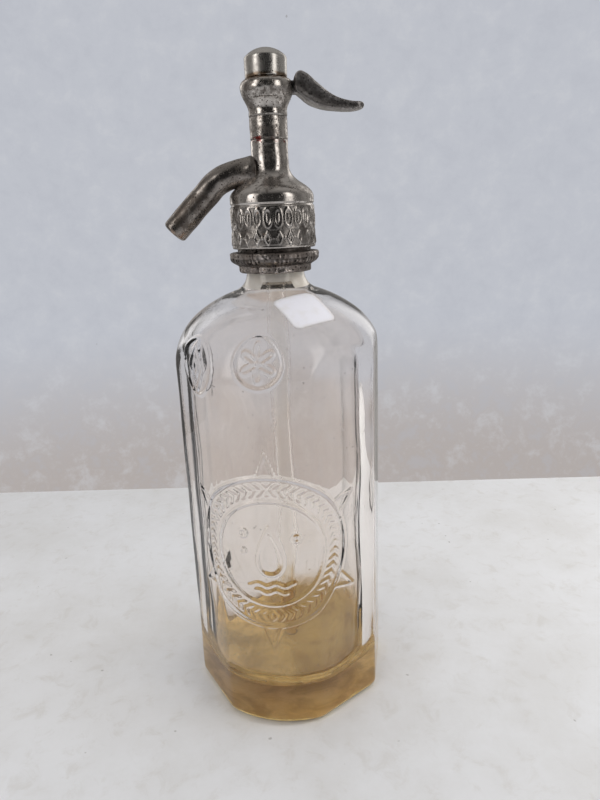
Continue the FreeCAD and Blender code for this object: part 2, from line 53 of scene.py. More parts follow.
def metres(*lengths):
    return [length * toMetres for length in lengths]


def roundedLine(*corners):
    # A polyline whose corners are cut back by their third number and bridged by a quadratic curve.
    line = []
    for k, (r, z, cut) in enumerate(corners):
        here = np.array([r, z], float)
        if cut <= 0 or k in (0, len(corners) - 1):
            line.append(here[None])
            continue
        before = np.array(corners[k - 1][:2], float) - here
        after = np.array(corners[k + 1][:2], float) - here
        start = here + before * min(cut / np.linalg.norm(before), 0.5)
        end = here + after * min(cut / np.linalg.norm(after), 0.5)
        t = np.linspace(0, 1, 9)[:, None]
        line.append((1 - t) ** 2 * start + 2 * t * (1 - t) * here + t ** 2 * end)
    return np.concatenate(line)


def arc(centre, radius, first, last, steps):
    # Points on a circle between two angles in degrees, in the r-z plane.
    a = np.radians(np.linspace(first, last, steps))
    return np.stack([centre[0] + radius * np.cos(a), centre[1] + radius * np.sin(a)], axis=1)


def spread(line, spacing):
    # New points along a polyline, whose distance follows spacing, given once or for each point.
    line = np.asarray(line, float)
    local = np.broadcast_to(np.asarray(spacing, float), len(line))
    runs = np.linalg.norm(np.diff(line, axis=0), axis=1)
    share = np.concatenate([[0], np.cumsum(runs / np.minimum(local[1:], local[:-1]))])
    at = np.linspace(0, share[-1], int(math.ceil(share[-1])) + 1)
    return np.stack([np.interp(at, share, line[:, k]) for k in range(line.shape[1])], axis=1)


def waves(points, size, seed, count=26):
    # Smooth noise of about unit strength: the mean of sine waves of that size in random directions.
    rng = np.random.default_rng(seed)
    ways = rng.normal(size=(count, 3))
    ways /= np.linalg.norm(ways, axis=1)[:, None]
    rates = rng.uniform(0.6, 1.5, count) * 2 * math.pi / size
    phases = rng.uniform(0, 2 * math.pi, count)
    return np.sin(points @ (ways * rates[:, None]).T + phases).mean(-1) * math.sqrt(2 * count)


def ridge(distance, width, height):
    # A rounded ridge along the line where distance is 0: height * (1 - (2d/width)^2), cut at 0.
    return height * np.clip(1 - (2 * distance / width) ** 2, 0, 1)


def hump(value, centre, width):
    # A smooth hump: exp(-((value - centre) / width)^2).
    return np.exp(-((value - centre) / width) ** 2)


def lineDistance(u, v, curve):
    # Distance from each (u, v) to the nearest of the curve's straight runs.
    best = np.full(u.shape, 1e9)
    for (x0, y0), (x1, y1) in zip(curve[:-1], curve[1:]):
        dx, dy = x1 - x0, y1 - y0
        t = np.clip(((u - x0) * dx + (v - y0) * dy) / (dx * dx + dy * dy + 1e-12), 0, 1)
        best = np.minimum(best, np.hypot(u - x0 - t * dx, v - y0 - t * dy))
    return best


def ringAngles(count):
    return np.linspace(0, 2 * math.pi, count, endpoint=False)


def polar(r, angles, z):
    # (r cos a, r sin a, z), with the shapes of the three brought together.
    return np.stack(np.broadcast_arrays(r * np.cos(angles), r * np.sin(angles), z), axis=-1)


def turned(line, angles):
    # The profile's (r, z) carried round the axis.
    return polar(line[:, :1], angles, line[:, 1:])


def closeEnds(grid):
    # A row more at each end, gathered in the middle of the end ring, for a pole to close on.
    ones = np.ones((1, grid.shape[1], 1))
    first, last = (end.mean(1, keepdims=True) * ones for end in (grid[:1], grid[-1:]))
    return np.concatenate([first, grid, last])


def gridMesh(name, grid, marks=None, ends="poles"):
    # A mesh on a grid of points whose columns close on themselves. The first and last rows shrink to
    # poles, or join each other in a ring. A sheet closes nowhere. Marks are values for each point.
    rows, cols = grid.shape[:2]
    index = np.arange(rows * cols).reshape(rows, cols)
    if ends == "poles":
        index[0] = index[0, 0]
        index[-1] = index[-1, 0]
    low, high = (index, np.roll(index, -1, 0)) if ends == "ring" else (index[:-1], index[1:])
    faces = np.stack([low, np.roll(low, -1, 1), np.roll(high, -1, 1), high], axis=-1)
    faces = (faces[:, :-1] if ends == "sheet" else faces).reshape(-1, 4)
    points = grid.reshape(-1, 3) * toMetres
    p = [points[faces[:, k]] for k in range(4)]
    volume = (p[0] * (np.cross(p[1], p[2]) + np.cross(p[2], p[3]))).sum()
    if volume < 0:
        faces = faces[:, ::-1]
    keep = np.roll(faces, -1, 1) != faces
    sizes = keep.sum(1)
    used, loops = np.unique(faces[keep], return_inverse=True)
    mesh = bpy.data.meshes.new(name)
    mesh.vertices.add(len(used))
    mesh.vertices.foreach_set("co", points[used].ravel())
    mesh.loops.add(len(loops))
    mesh.loops.foreach_set("vertex_index", loops.ravel().astype(np.int32))
    mesh.polygons.add(len(sizes))
    starts = np.concatenate([[0], np.cumsum(sizes)[:-1]]).astype(np.int32)
    mesh.polygons.foreach_set("loop_start", starts)
    mesh.polygons.foreach_set("use_smooth", np.ones(len(sizes), bool))
    mesh.update(calc_edges=True)
    mesh.validate()
    for label, values in (marks or {}).items():
        layer = mesh.attributes.new(label, "FLOAT", "POINT")
        layer.data.foreach_set("value", np.asarray(values, np.float32).reshape(-1)[used])
    return mesh


def addObject(name, data):
    made = bpy.data.objects.new(name, data)
    bpy.context.scene.collection.objects.link(made)
    return made


def addPiece(mesh, material, body, nodes=()):
    # The piece stands at the origin, rides on its body and takes the place of the CAD nodes named.
    piece = addObject(mesh.name, mesh)
    mesh.materials.append(material)
    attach(piece, body)
    if nodes:
        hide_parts(*nodes)
    return piece


def srgb(red, green, blue):
    # A colour given as 0-255 screen values, as the linear colour that a socket takes.
    parts = (c / 255 for c in (red, green, blue))
    return tuple(c / 12.92 if c <= 10 / 255 else ((c + 0.055) / 1.055) ** 2.4 for c in parts)


def fill(node, inputs):
    # Links the sockets among the values, sets the plain ones, and gives colours their alpha.
    for key, value in inputs.items():
        if isinstance(value, bpy.types.NodeSocket):
            node.id_data.links.new(value, node.inputs[key])
        else:
            node.inputs[key].default_value = (*value, 1) if node.inputs[key].type == "RGBA" else value
    return node.outputs


def feed(node, **inputs):
    fill(node, {key.replace("_", " "): value for key, value in inputs.items()})


def put(tree, kind, inputs=None, **settings):
    made = tree.nodes.new("ShaderNode" + kind)
    for key, value in settings.items():
        setattr(made, key, value)
    return fill(made, inputs or {})


def treeOf(*values):
    # The tree of the first value that is a socket.
    return next(value.id_data for value in values if isinstance(value, bpy.types.NodeSocket))


def calc(operation, a, b=0.0, c=0.0, clamp=False):
    return put(treeOf(a, b, c), "Math", {0: a, 1: b, 2: c}, operation=operation, use_clamp=clamp)[0]


def plus(a, b, clamp=False):
    return calc("ADD", a, b, clamp=clamp)


def minus(a, b):
    return calc("SUBTRACT", a, b)


def times(a, b):
    return calc("MULTIPLY", a, b)


def vectorMath(operation, *values):
    return put(treeOf(*values), "VectorMath", dict(enumerate(values)), operation=operation)[0]


def ramp(value, low, high, toLow=0.0, toHigh=1.0):
    inputs = {"Value": value, "From Min": low, "From Max": high, "To Min": toLow, "To Max": toHigh}
    return put(value.id_data, "MapRange", inputs, interpolation_type="SMOOTHSTEP")["Result"]


def mixed(factor, a, b):
    return put(factor.id_data, "Mix", {0: factor, 6: a, 7: b}, data_type="RGBA")[2]


def noise(place, scale, detail=3.0, roughness=0.55, distortion=0.0):
    inputs = {"Vector": place, "Scale": scale, "Detail": detail, "Roughness": roughness,
              "Distortion": distortion}
    return put(place.id_data, "TexNoise", inputs)["Fac"]


def parts(place):
    return put(place.id_data, "SeparateXYZ", {0: place})


def mark(place, name):
    return put(place.id_data, "Attribute", attribute_name=name)["Fac"]


def bump(height, distance):
    return put(height.id_data, "Bump", {"Height": height, "Distance": distance * toMetres})[0]


def objectPlace(tree, scale=(1, 1, 1), tilt=0):
    # Object coordinates, scaled, and tilted about Y by degrees.
    place = put(tree, "TexCoord")["Object"]
    if scale == (1, 1, 1) and tilt == 0:
        return place
    return put(tree, "Mapping", {"Vector": place, "Scale": scale, "Rotation": (0, math.radians(tilt), 0)})[0]


groupColours = ("colour", "clean", "dull", "stain", "dirt", "bright")


def newGroup(name, takes, gives):
    # A group whose sockets are numbers, but for the place and the colours.
    tree = bpy.data.node_groups.new(name, "ShaderNodeTree")
    for direction, labels in (("INPUT", takes), ("OUTPUT", gives)):
        for label in labels.split():
            kind = "Vector" if label == "place" else "Color" if label in groupColours else "Float"
            tree.interface.new_socket(label, in_out=direction, socket_type="NodeSocket" + kind)
    return tree, tree.nodes.new("NodeGroupInput").outputs, tree.nodes.new("NodeGroupOutput")


def useGroup(group, place, **values):
    # The group takes those of the values that its inputs are named after.
    made = place.id_data.nodes.new("ShaderNodeGroup")
    made.node_tree = group
    values["place"] = place
    return fill(made, {socket.name: values[socket.name] for socket in made.inputs})


def makePatina():
    # Clean metal with duller clouds and small warm stains. The scale is in patches per metre.
    tree, takes, gives = newGroup(
        "patina", "place scale cover clean dull stain stainCover smooth rough", "colour roughness height")
    place, scale = takes["place"], takes["scale"]
    cloud = noise(place, scale, 5.0, 0.62, 0.4)
    fine = noise(place, times(scale, 9.0), 4.0, 0.65)
    blend = plus(times(cloud, 0.72), times(fine, 0.28))
    edge = minus(0.72, times(takes["cover"], 0.42))
    dull = ramp(blend, minus(edge, 0.07), plus(edge, 0.07))
    spot = noise(vectorMath("ADD", place, (3.1, 1.7, 5.3)), times(scale, 1.7), 5.0, 0.68, 0.8)
    spotEdge = minus(0.74, times(takes["stainCover"], 0.4))
    stain = ramp(spot, spotEdge, plus(spotEdge, 0.13))
    colour = mixed(dull, takes["clean"], takes["dull"])
    colour = mixed(times(stain, 0.8), colour, takes["stain"])
    span = minus(takes["rough"], takes["smooth"])
    share = times(calc("MAXIMUM", dull, stain), ramp(fine, 0.3, 0.7, 0.7, 1.0))
    rough = plus(takes["smooth"], times(span, share))
    feed(gives, colour=colour, roughness=rough, height=plus(times(fine, 0.5), times(cloud, 0.5)))
    return tree


def makePits():
    # Round pits in some of the cells of a cell pattern. The cover is the share of cells that have one.
    tree, takes, gives = newGroup("pits", "place pitScale pitCover pitSize", "mask height")
    scale, size = takes["pitScale"], takes["pitSize"]
    bent = put(tree, "TexNoise", {"Vector": takes["place"], "Scale": times(scale, 1.6)})["Color"]
    shift = vectorMath("SUBTRACT", bent, (0.5, 0.5, 0.5))
    place = vectorMath("MULTIPLY_ADD", shift, calc("DIVIDE", 0.5, scale), takes["place"])
    cells = put(tree, "TexVoronoi", {"Vector": place, "Scale": scale})
    chosen = calc("LESS_THAN", put(tree, "SeparateColor", {0: cells["Color"]})[0], takes["pitCover"])
    mask = times(ramp(cells["Distance"], times(size, 0.5), size, 1.0, 0.0), chosen)
    feed(gives, mask=mask, height=minus(1.0, mask))
    return tree


def makeScuffs():
    # Thin bright lines where two stretched noises cross their middle. The place comes in stretched.
    tree, takes, gives = newGroup("scuffs", "place scale width", "mask grain")
    grain = noise(takes["place"], takes["scale"], 3.0, 0.6, 0.3)
    line = ramp(calc("ABSOLUTE", minus(grain, 0.5)), 0.0, takes["width"], 1.0, 0.0)
    breaks = noise(takes["place"], times(takes["scale"], 0.37), 2.0)
    feed(gives, mask=times(line, ramp(breaks, 0.5, 0.62)), grain=grain)
    return tree


def makeDirtAndShade():
    # Dark dirt in the hollows of a relief and brighter worn metal on its tops. The same mark also carries
    # painted shade on the lever's flanks and the collar's sleeve, and a painted highlight on the lever's top
    # and bottom. The mark runs from 0 to 1.
    tree, takes, gives = newGroup("reliefDirtAndShade", "place raised colour dirt bright grime", "colour mask")
    cloud = noise(takes["place"], 420.0, 4.0, 0.6)
    # Dark where the mark is low: dirt in relief hollows, and painted shade on the lever's flanks and the
    # collar's sleeve.
    hollowAndShade = ramp(plus(takes["raised"], times(minus(cloud, 0.5), 0.7)), 0.1, 0.5, 1.0, 0.0)
    hollowAndShade = times(hollowAndShade, takes["grime"])
    # Brighter where the mark is high: worn tops of a relief, and a painted highlight on the lever's top and
    # bottom.
    top = times(ramp(takes["raised"], 0.65, 0.95), 0.6)
    colour = mixed(hollowAndShade, takes["colour"], takes["dirt"])
    feed(gives, colour=mixed(top, colour, takes["bright"]), mask=hollowAndShade)
    return tree


patina, pits, scuffs, reliefDirtAndShade = makePatina(), makePits(), makeScuffs(), makeDirtAndShade()


def startMaterial(name):
    material = bpy.data.materials.new(name)
    material.use_nodes = True
    tree = material.node_tree
    return material, tree.nodes["Principled BSDF"], objectPlace(tree)


# What the metals share. A band is a stained ring: its height, half width, colour and how much it breaks up.
commonMetal = dict(
    stainCover=0.3, pitSize=0.4, dirt=(0.04, 0.03, 0.025), bright=(0.65, 0.63, 0.61), grime=0.0,
    stretch=(1, 1, 1), tilt=0, bands=())
metalLooks = {
    "worn_nickel": dict(
        clean=(0.52, 0.49, 0.465), dull=(0.22, 0.20, 0.185), stain=(0.30, 0.17, 0.10), cover=0.40, scale=70,
        smooth=0.17, rough=0.40, pitCover=0.22, pitScale=900, pitSize=0.36, dirt=(0.035, 0.028, 0.024),
        bright=(0.70, 0.67, 0.63), grime=0.5, wave=0.16, stretch=(1, 1, 0.25),
        bands=((269.0, 1.0, (0.20, 0.035, 0.03), 0.5),)),
    "pitted_nickel": dict(
        clean=(0.54, 0.51, 0.48), dull=(0.19, 0.17, 0.155), stain=(0.13, 0.08, 0.055), cover=0.52,
        stainCover=0.46, scale=80, smooth=0.16, rough=0.42, pitCover=0.5, pitScale=1150, pitSize=0.42,
        dirt=(0.035, 0.028, 0.024), bright=(0.75, 0.72, 0.68), grime=0.5, wave=0.22, stretch=(1, 1, 0.3),
        bands=((270.4, 0.9, (0.20, 0.035, 0.03), 0.54), (294.0, 1.1, (0.20, 0.13, 0.08), 0.35))),
    "cap_nickel": dict(
        clean=(0.52, 0.505, 0.48), dull=(0.34, 0.32, 0.30), stain=(0.30, 0.22, 0.16), cover=0.3,
        stainCover=0.2, scale=60, smooth=0.27, rough=0.42, pitCover=0.08, pitScale=1100,
        dirt=(0.05, 0.04, 0.03), bright=(0.75, 0.73, 0.70), wave=0.10, stretch=(1, 1, 0.2),
        bands=((294.4, 1.9, (0.21, 0.155, 0.11), 0.33),)),
    # The collar's dark colour also gives painted shade on its sleeve under the bell.
    "collar_pewter": dict(
        clean=(0.47, 0.43, 0.405), dull=(0.20, 0.175, 0.16), stain=(0.30, 0.19, 0.11), cover=0.6, scale=110,
        smooth=0.22, rough=0.5, pitCover=0.4, pitScale=800, pitSize=0.5, dirt=(0.02, 0.017, 0.015),
        bright=(0.55, 0.52, 0.48), grime=0.6, wave=0.35),
    "spout_pewter": dict(
        clean=(0.30, 0.275, 0.255), dull=(0.14, 0.12, 0.105), stain=(0.34, 0.23, 0.16), cover=0.55,
        stainCover=0.4, scale=55, smooth=0.24, rough=0.46, pitCover=0.3, pitScale=1000,
        bright=(0.6, 0.57, 0.53), grime=0.4, wave=0.2, stretch=(1, 1, 0.16), tilt=-45),
    # The lever's dark and bright colours also give painted shade on its flanks and a painted highlight on its
    # top and bottom.
    "lever_iron": dict(
        clean=(0.60, 0.58, 0.57), dull=(0.24, 0.225, 0.22), stain=(0.15, 0.10, 0.075), cover=0.62,
        stainCover=0.2, scale=70, smooth=0.26, rough=0.52, pitCover=0.35, pitScale=900, pitSize=0.45,
        dirt=(0.03, 0.027, 0.026), bright=(0.52, 0.50, 0.48), grime=0.8, wave=0.2, stretch=(0.12, 1, 1),
        tilt=14),
    "inner_brass": dict(
        clean=(0.62, 0.43, 0.18), dull=(0.32, 0.20, 0.08), stain=(0.12, 0.16, 0.10), cover=0.5, scale=120,
        smooth=0.22, rough=0.45, pitCover=0.2, pitScale=1200, dirt=(0.05, 0.035, 0.015),
        bright=(0.75, 0.55, 0.28), wave=0.05),
    "pin_steel": dict(
        clean=(0.50, 0.49, 0.48), dull=(0.24, 0.22, 0.21), stain=(0.26, 0.13, 0.07), cover=0.45, scale=200,
        smooth=0.2, rough=0.42, pitCover=0.25, pitScale=1600, wave=0.03, stretch=(1, 0.2, 1)),
    "spring_steel": dict(
        clean=(0.52, 0.51, 0.50), dull=(0.28, 0.26, 0.24), stain=(0.25, 0.14, 0.08), cover=0.35,
        stainCover=0.2, scale=260, smooth=0.2, rough=0.4, pitCover=0.1, pitScale=2200, wave=0.02),
}


def makeMetal(name, look):
    # Patina gives the colour, pits and scuffs break it, and the relief mark darkens the hollows with dirt. On
    # the lever and the collar's sleeve the same mark also paints shade and highlights.
    material, shader, place = startMaterial(name)
    base = useGroup(patina, place, **look)
    holes = useGroup(pits, place, **look)
    stretched = objectPlace(material.node_tree, look["stretch"], look["tilt"])
    grain = useGroup(scuffs, stretched, scale=700.0, width=0.035)
    colour = mixed(times(holes["mask"], 0.85), base["colour"], look["dirt"])
    colour = mixed(times(grain["mask"], 0.45), colour, look["bright"])
    rough = base["roughness"]
    if look["grime"] > 0:
        dirtAndShading = useGroup(reliefDirtAndShade, place, raised=mark(place, "raised"), colour=colour, **look)
        colour = dirtAndShading["colour"]
        rough = plus(rough, times(dirtAndShading["mask"], 0.2))
    rough = plus(rough, times(holes["mask"], 0.25), clamp=True)
    level = parts(place)[2]
    for at, half, bandColour, low in look["bands"]:
        off = calc("ABSOLUTE", minus(level, at * toMetres))
        near = ramp(off, *metres(half * 0.4, half), 1.0, 0.0)
        broken = ramp(noise(place, 230.0, 3.0), low, low + 0.12)
        colour = mixed(times(near, broken), colour, bandColour)
    swell = noise(place, 190.0, 2.0)
    height = plus(times(base["height"], 0.25), times(holes["height"], 0.35))
    height = plus(height, times(grain["grain"], 0.22))
    height = plus(height, times(swell, look["wave"] * 6))
    feed(shader, Metallic=1.0, Base_Color=colour, Roughness=rough, Normal=bump(height, 0.10))
    return material


metals = {name: makeMetal(name, dict(commonMetal, **look)) for name, look in metalLooks.items()}

glassLook = dict(
    tint=(0.985, 0.946, 0.914), haze=(0.88, 0.84, 0.79), amber=(0.52, 0.33, 0.10), seed=(0.25, 0.22, 0.18),
    neckFrom=198, neckTo=208, neckTint=(0.98, 0.95, 0.88), neckRough=0.12, scuffRough=0.16, wave=0.05,
    shadow=(0.94, 0.925, 0.90), ior=1.5)
tubeLook = dict(glassLook, tint=(0.992, 0.987, 0.975), haze=(0.93, 0.90, 0.84), wave=0.08, scuffRough=0.1)
tubeCrust = dict(colour=(0.80, 0.64, 0.32), full=30, thin=100)


def makeGlass(name, look, withResidue=True):
    # Old clear glass: a warm tint, scuffed and seedy, with a dried amber deposit inside the foot.
    material, shader, place = startMaterial(name)
    tree = material.node_tree
    level = parts(place)[2]
    neck = metres(look["neckFrom"], look["neckTo"])
    haze = ramp(noise(place, 60.0, 5.0, 0.6, 0.5), 0.45, 0.75, 0.0, 0.4)
    colour = mixed(haze, look["tint"], look["haze"])
    if withResidue:
        deposit = mark(place, "deposit")
        cloud = noise(place, 55.0, 5.0, 0.6, 0.6)
        deposit = times(deposit, ramp(cloud, 0.25, 0.6, 0.55, 1.0))
        colour = mixed(deposit, colour, look["amber"])
        bloom = times(ramp(level, *neck), ramp(cloud, 0.35, 0.65, 0.3, 1.0))
        colour = mixed(bloom, colour, look["neckTint"])
    marks = useGroup(scuffs, objectPlace(tree, (1, 1, 0.45)), scale=260.0, width=0.02)
    seeds = useGroup(pits, place, pitScale=330.0, pitCover=0.06, pitSize=0.16)
    worn = times(marks["mask"], ramp(noise(place, 38.0, 4.0, 0.6), 0.5, 0.68))
    rough = plus(times(worn, look["scuffRough"]), ramp(level, *neck, 0.0, look["neckRough"]))
    colour = mixed(times(seeds["mask"], 0.6), colour, look["seed"])
    bumps = plus(times(noise(place, 90.0, 2.0), look["wave"] * 8), times(seeds["height"], 0.5))
    bumps = minus(bumps, times(worn, 0.25))
    feed(shader, Base_Color=colour, Roughness=rough, Normal=bump(bumps, 0.12), Transmission_Weight=1.0,
         IOR=look["ior"])
    through = put(tree, "BsdfTransparent", {"Color": look["shadow"]})[0]
    lampRay = put(tree, "LightPath")["Is Shadow Ray"]
    both = put(tree, "MixShader", {0: lampRay, 1: shader.outputs[0], 2: through})[0]
    feed(tree.nodes["Material Output"], Surface=both)
    return material


def makeTubeGlass():
    # The same glass, with a yellow crust that thickens towards the bottle's foot.
    material = makeGlass("tube_glass", tubeLook, withResidue=False)
    tree = material.node_tree
    shader = tree.nodes["Principled BSDF"]
    level = parts(objectPlace(tree))[2]
    crust = noise(objectPlace(tree, (1, 1, 0.35)), 160.0, 5.0, 0.65, 0.7)
    low = ramp(level, *metres(tubeCrust["full"], tubeCrust["thin"]), 0.22, -0.30)
    mask = ramp(plus(crust, low), 0.5, 0.72)
    before = shader.inputs["Base Color"].links[0].from_socket
    feed(shader, Base_Color=mixed(times(mask, 0.7), before, tubeCrust["colour"]))
    return material


def makeRubber():
    # Aged black-brown rubber with a dusty bloom and fine cracks.
    material, shader, place = startMaterial("seal_rubber")
    bloom = ramp(noise(place, 180.0, 5.0, 0.65), 0.42, 0.7)
    colour = mixed(bloom, (0.028, 0.024, 0.021), (0.11, 0.085, 0.065))
    cells = put(place.id_data, "TexVoronoi", {"Vector": place, "Scale": 900.0}, feature="DISTANCE_TO_EDGE")
    line = ramp(cells["Distance"], 0.0, 0.06, 1.0, 0.0)
    colour = mixed(times(line, 0.5), colour, (0.01, 0.009, 0.008))
    rough = ramp(bloom, 0.0, 1.0, 0.55, 0.85)
    feed(shader, Base_Color=colour, Roughness=rough, Normal=bump(minus(bloom, line), 0.04))
    return material


def makePaper():
    # White sticker paper: faint fibres, soft blots and a slightly yellowed rim.
    material, shader, place = startMaterial("label_paper")
    fibre = noise(place, 1500.0, 5.0, 0.7, 0.5)
    blot = ramp(noise(place, 140.0, 4.0, 0.6), 0.45, 0.75, 0.0, 0.5)
    colour = mixed(blot, srgb(226, 225, 231), srgb(212, 208, 204))
    colour = mixed(ramp(fibre, 0.55, 0.75, 0.0, 0.25), colour, srgb(205, 202, 200))
    colour = mixed(times(mark(place, "rim"), 0.5), colour, srgb(196, 188, 176))
    feed(shader, Base_Color=colour, Roughness=ramp(fibre, 0.3, 0.7, 0.5, 0.7), Normal=bump(fibre, 0.02))
    return material


bottleGlass, tubeGlass = makeGlass("bottle_glass", glassLook), makeTubeGlass()
sealRubber, labelPaper = makeRubber(), makePaper()
print("materials made")


bottle = dict(
    circle=50.0, flat=46.73, flatsAt=(-53.87, -12.2, 29.47, 126.13, 167.8, 209.47), edgeSoftness=0.34,
    edgesAt=(-171.4, -129.7, -74.7, -33.0, 8.6, 50.3, 105.3, 147.0), heel=4.0, recess=32.0, recessDepth=2.5,
    sideTop=170.0, sideArc=32.0, sideTurn=53.1, crownArc=62.0, crownHeight=146.0, crownTurn=72.6,
    neckFillet=8.3, filletAt=(21.7, 212.87), neckRadius=13.4, beadRadius=15.4, beadFrom=218.57, beadTo=225.97,
    lipRadius=13.2, lip=233.97, bore=9.5, inside=43.0, insideArc=25.0, insideCrown=55.0, insideFloor=14.0,
    floorCorner=14.0, outerWave=0.10, innerWave=0.28)
medallion = dict(
    at=-100, height=92.8, outer=(38.3, 37.2), inner=(26.0, 26.0), line=1.9, lineHeight=0.72, ground=0.45,
    points=6, pointLong=11.5, pointHalf=3.8, leaves=26, leafHeight=0.62, dropWide=8.2, dropTall=12.0,
    ripples=((-15.5, 10.5), (-19.0, 7.0)), bubbles=((-12.2, 10.0, 1.9), (12.4, 7.5, 1.5), (-12.8, 1.0, 1.3)))
rosette = dict(at=-101, height=180.0, outer=(10.8, 10.8), line=1.5, lineHeight=0.6, ground=0.4)
roundel = dict(at=-141, height=176.0, outer=(12.4, 12.4), line=1.8, lineHeight=0.5, ground=0.22)


def localPlace(angle, z, spot):
    # Unrolls the wall round a spot: u along the girth, positive to the right from outside, and v upwards.
    off = (np.degrees(angle) - spot["at"] + 180) % 360 - 180
    return np.radians(off) * bottle["circle"], z - spot["height"]


def medallionRelief(angle, z):
    # An oval double ring, leaves between its lines, open points outside, and a drop with ripples inside.
    m = SimpleNamespace(**medallion)
    u, v = localPlace(angle, z, medallion)
    shapes = []
    for wide, tall in (m.outer, m.inner):
        rho = np.hypot(u / wide, v / tall) + 1e-9
        slope = np.hypot(u / wide ** 2, v / tall ** 2) / rho + 1e-9
        shapes.append(ridge((rho - 1) / slope, m.line, m.lineHeight))
    wide, tall = (np.array(m.outer) + m.inner) / 2
    rho = np.hypot(u / wide, v / tall) + 1e-9
    across = np.abs(rho - 1) * (wide + tall) / 2
    leaf = np.abs((np.arctan2(v / tall, np.abs(u) / wide) / math.pi * m.leaves + across * 0.22) % 1 - 0.5)
    window = np.clip(1 - (across / 3.4) ** 4, 0, 1)
    shapes.append(m.leafHeight * window * np.clip(1 - (leaf / 0.30) ** 2, 0, 1))
    for way in math.pi / 2 + np.arange(m.points) * 2 * math.pi / m.points:
        out = np.array([math.cos(way), math.sin(way)])
        foot, side = m.outer * out, np.array([-out[1], out[0]]) * m.pointHalf
        point = [foot - side, foot + out * m.pointLong, foot + side]
        shapes.append(ridge(lineDistance(u, v, point), 1.7, 0.68))
    t = np.linspace(0, 2 * math.pi, 61)
    drop = np.stack([m.dropWide * np.sin(t) * np.sin(t / 2) ** 1.4, 1.5 + m.dropTall * np.cos(t)], axis=1)
    shapes.append(ridge(lineDistance(u, v, drop), 2.6, 0.95))
    t = np.linspace(-1, 1, 25)
    for level, reach in m.ripples:
        ripple = np.stack([t * reach, level + 0.8 * np.sin(t * reach * 0.75)], axis=1)
        shapes.append(ridge(lineDistance(u, v, ripple), 1.9, 0.8))
    for x, y, size in m.bubbles:
        shapes.append(ridge(np.hypot(u - x, v - y) - size, 1.5, 0.75))
    return np.maximum.reduce(shapes)


def rosetteRelief(angle, z):
    # A ring round a flower: the petal line is r = 5.3 + 2.6 cos(6 a), with a bead in the middle.
    u, v = localPlace(angle, z, rosette)
    rho, way = np.hypot(u, v) + 1e-9, np.arctan2(v, u)
    petal = 5.3 + 2.6 * np.cos(6 * way + math.pi)
    lean = np.sqrt(1 + (15.6 * np.sin(6 * way) / np.maximum(rho, 2.5)) ** 2)
    ring = ridge(rho - rosette["outer"][0], rosette["line"], rosette["lineHeight"])
    return np.maximum.reduce([ring, ridge((rho - petal) / lean, 1.6, 0.9), ridge(rho, 3.0, 0.9)])


def roundelRelief(angle, z):
    # A ring round two nested diamonds, where 1.25 |u| + 0.85 |v| is the same all along a diamond.
    u, v = localPlace(angle, z, roundel)
    ring = ridge(np.hypot(u, v) - roundel["outer"][0], roundel["line"], roundel["lineHeight"])
    across = np.abs(u) * 1.25 + np.abs(v) * 0.85
    return np.maximum.reduce([ring, *(ridge((across - size) / 1.5, 3.0, 0.65) for size in (9.0, 3.2))])


def sunkPanels(angle, z):
    # The ground inside each frame lies a little lower: depth * smooth step of the distance inside its line.
    sunk = np.zeros(angle.shape)
    for spot in (medallion, rosette, roundel):
        u, v = localPlace(angle, z, spot)
        wide, tall = spot["outer"]
        t = np.clip((1.0 - np.hypot(u / wide, v / tall)) * wide / 1.6, 0, 1)
        sunk = np.maximum(sunk, spot["ground"] * t * t * (3 - 2 * t))
    return sunk


def bottleAngles():
    # Columns lie closest at the front, where the relief is, and on the vertical edges.
    fine = np.radians(np.linspace(-180, 180, 2881))
    degrees = np.degrees(fine)
    step = np.where((degrees > -156) & (degrees < -43), 0.76, 5.0)
    for at in bottle["edgesAt"]:
        near = np.abs((degrees - at + 180) % 360 - 180)
        step = np.minimum(step, 0.7 + near * 0.5)
    return spread(fine[:, None], np.radians(step))[:-1, 0]


def facetedRadius(angles, r):
    # Soft minimum of a circle of radius r and six planes, each at flat / cos(angle - its direction).
    circle, k = bottle["circle"], bottle["edgeSoftness"]
    total = np.zeros(angles.shape)
    for at in bottle["flatsAt"]:
        plane = bottle["flat"] / np.maximum(np.cos(angles - math.radians(at)), 0.35)
        total += np.exp(-(plane - circle) / k)
    return circle - k * np.log(total + np.exp(-np.clip((r - circle) / k, -200, 60)))


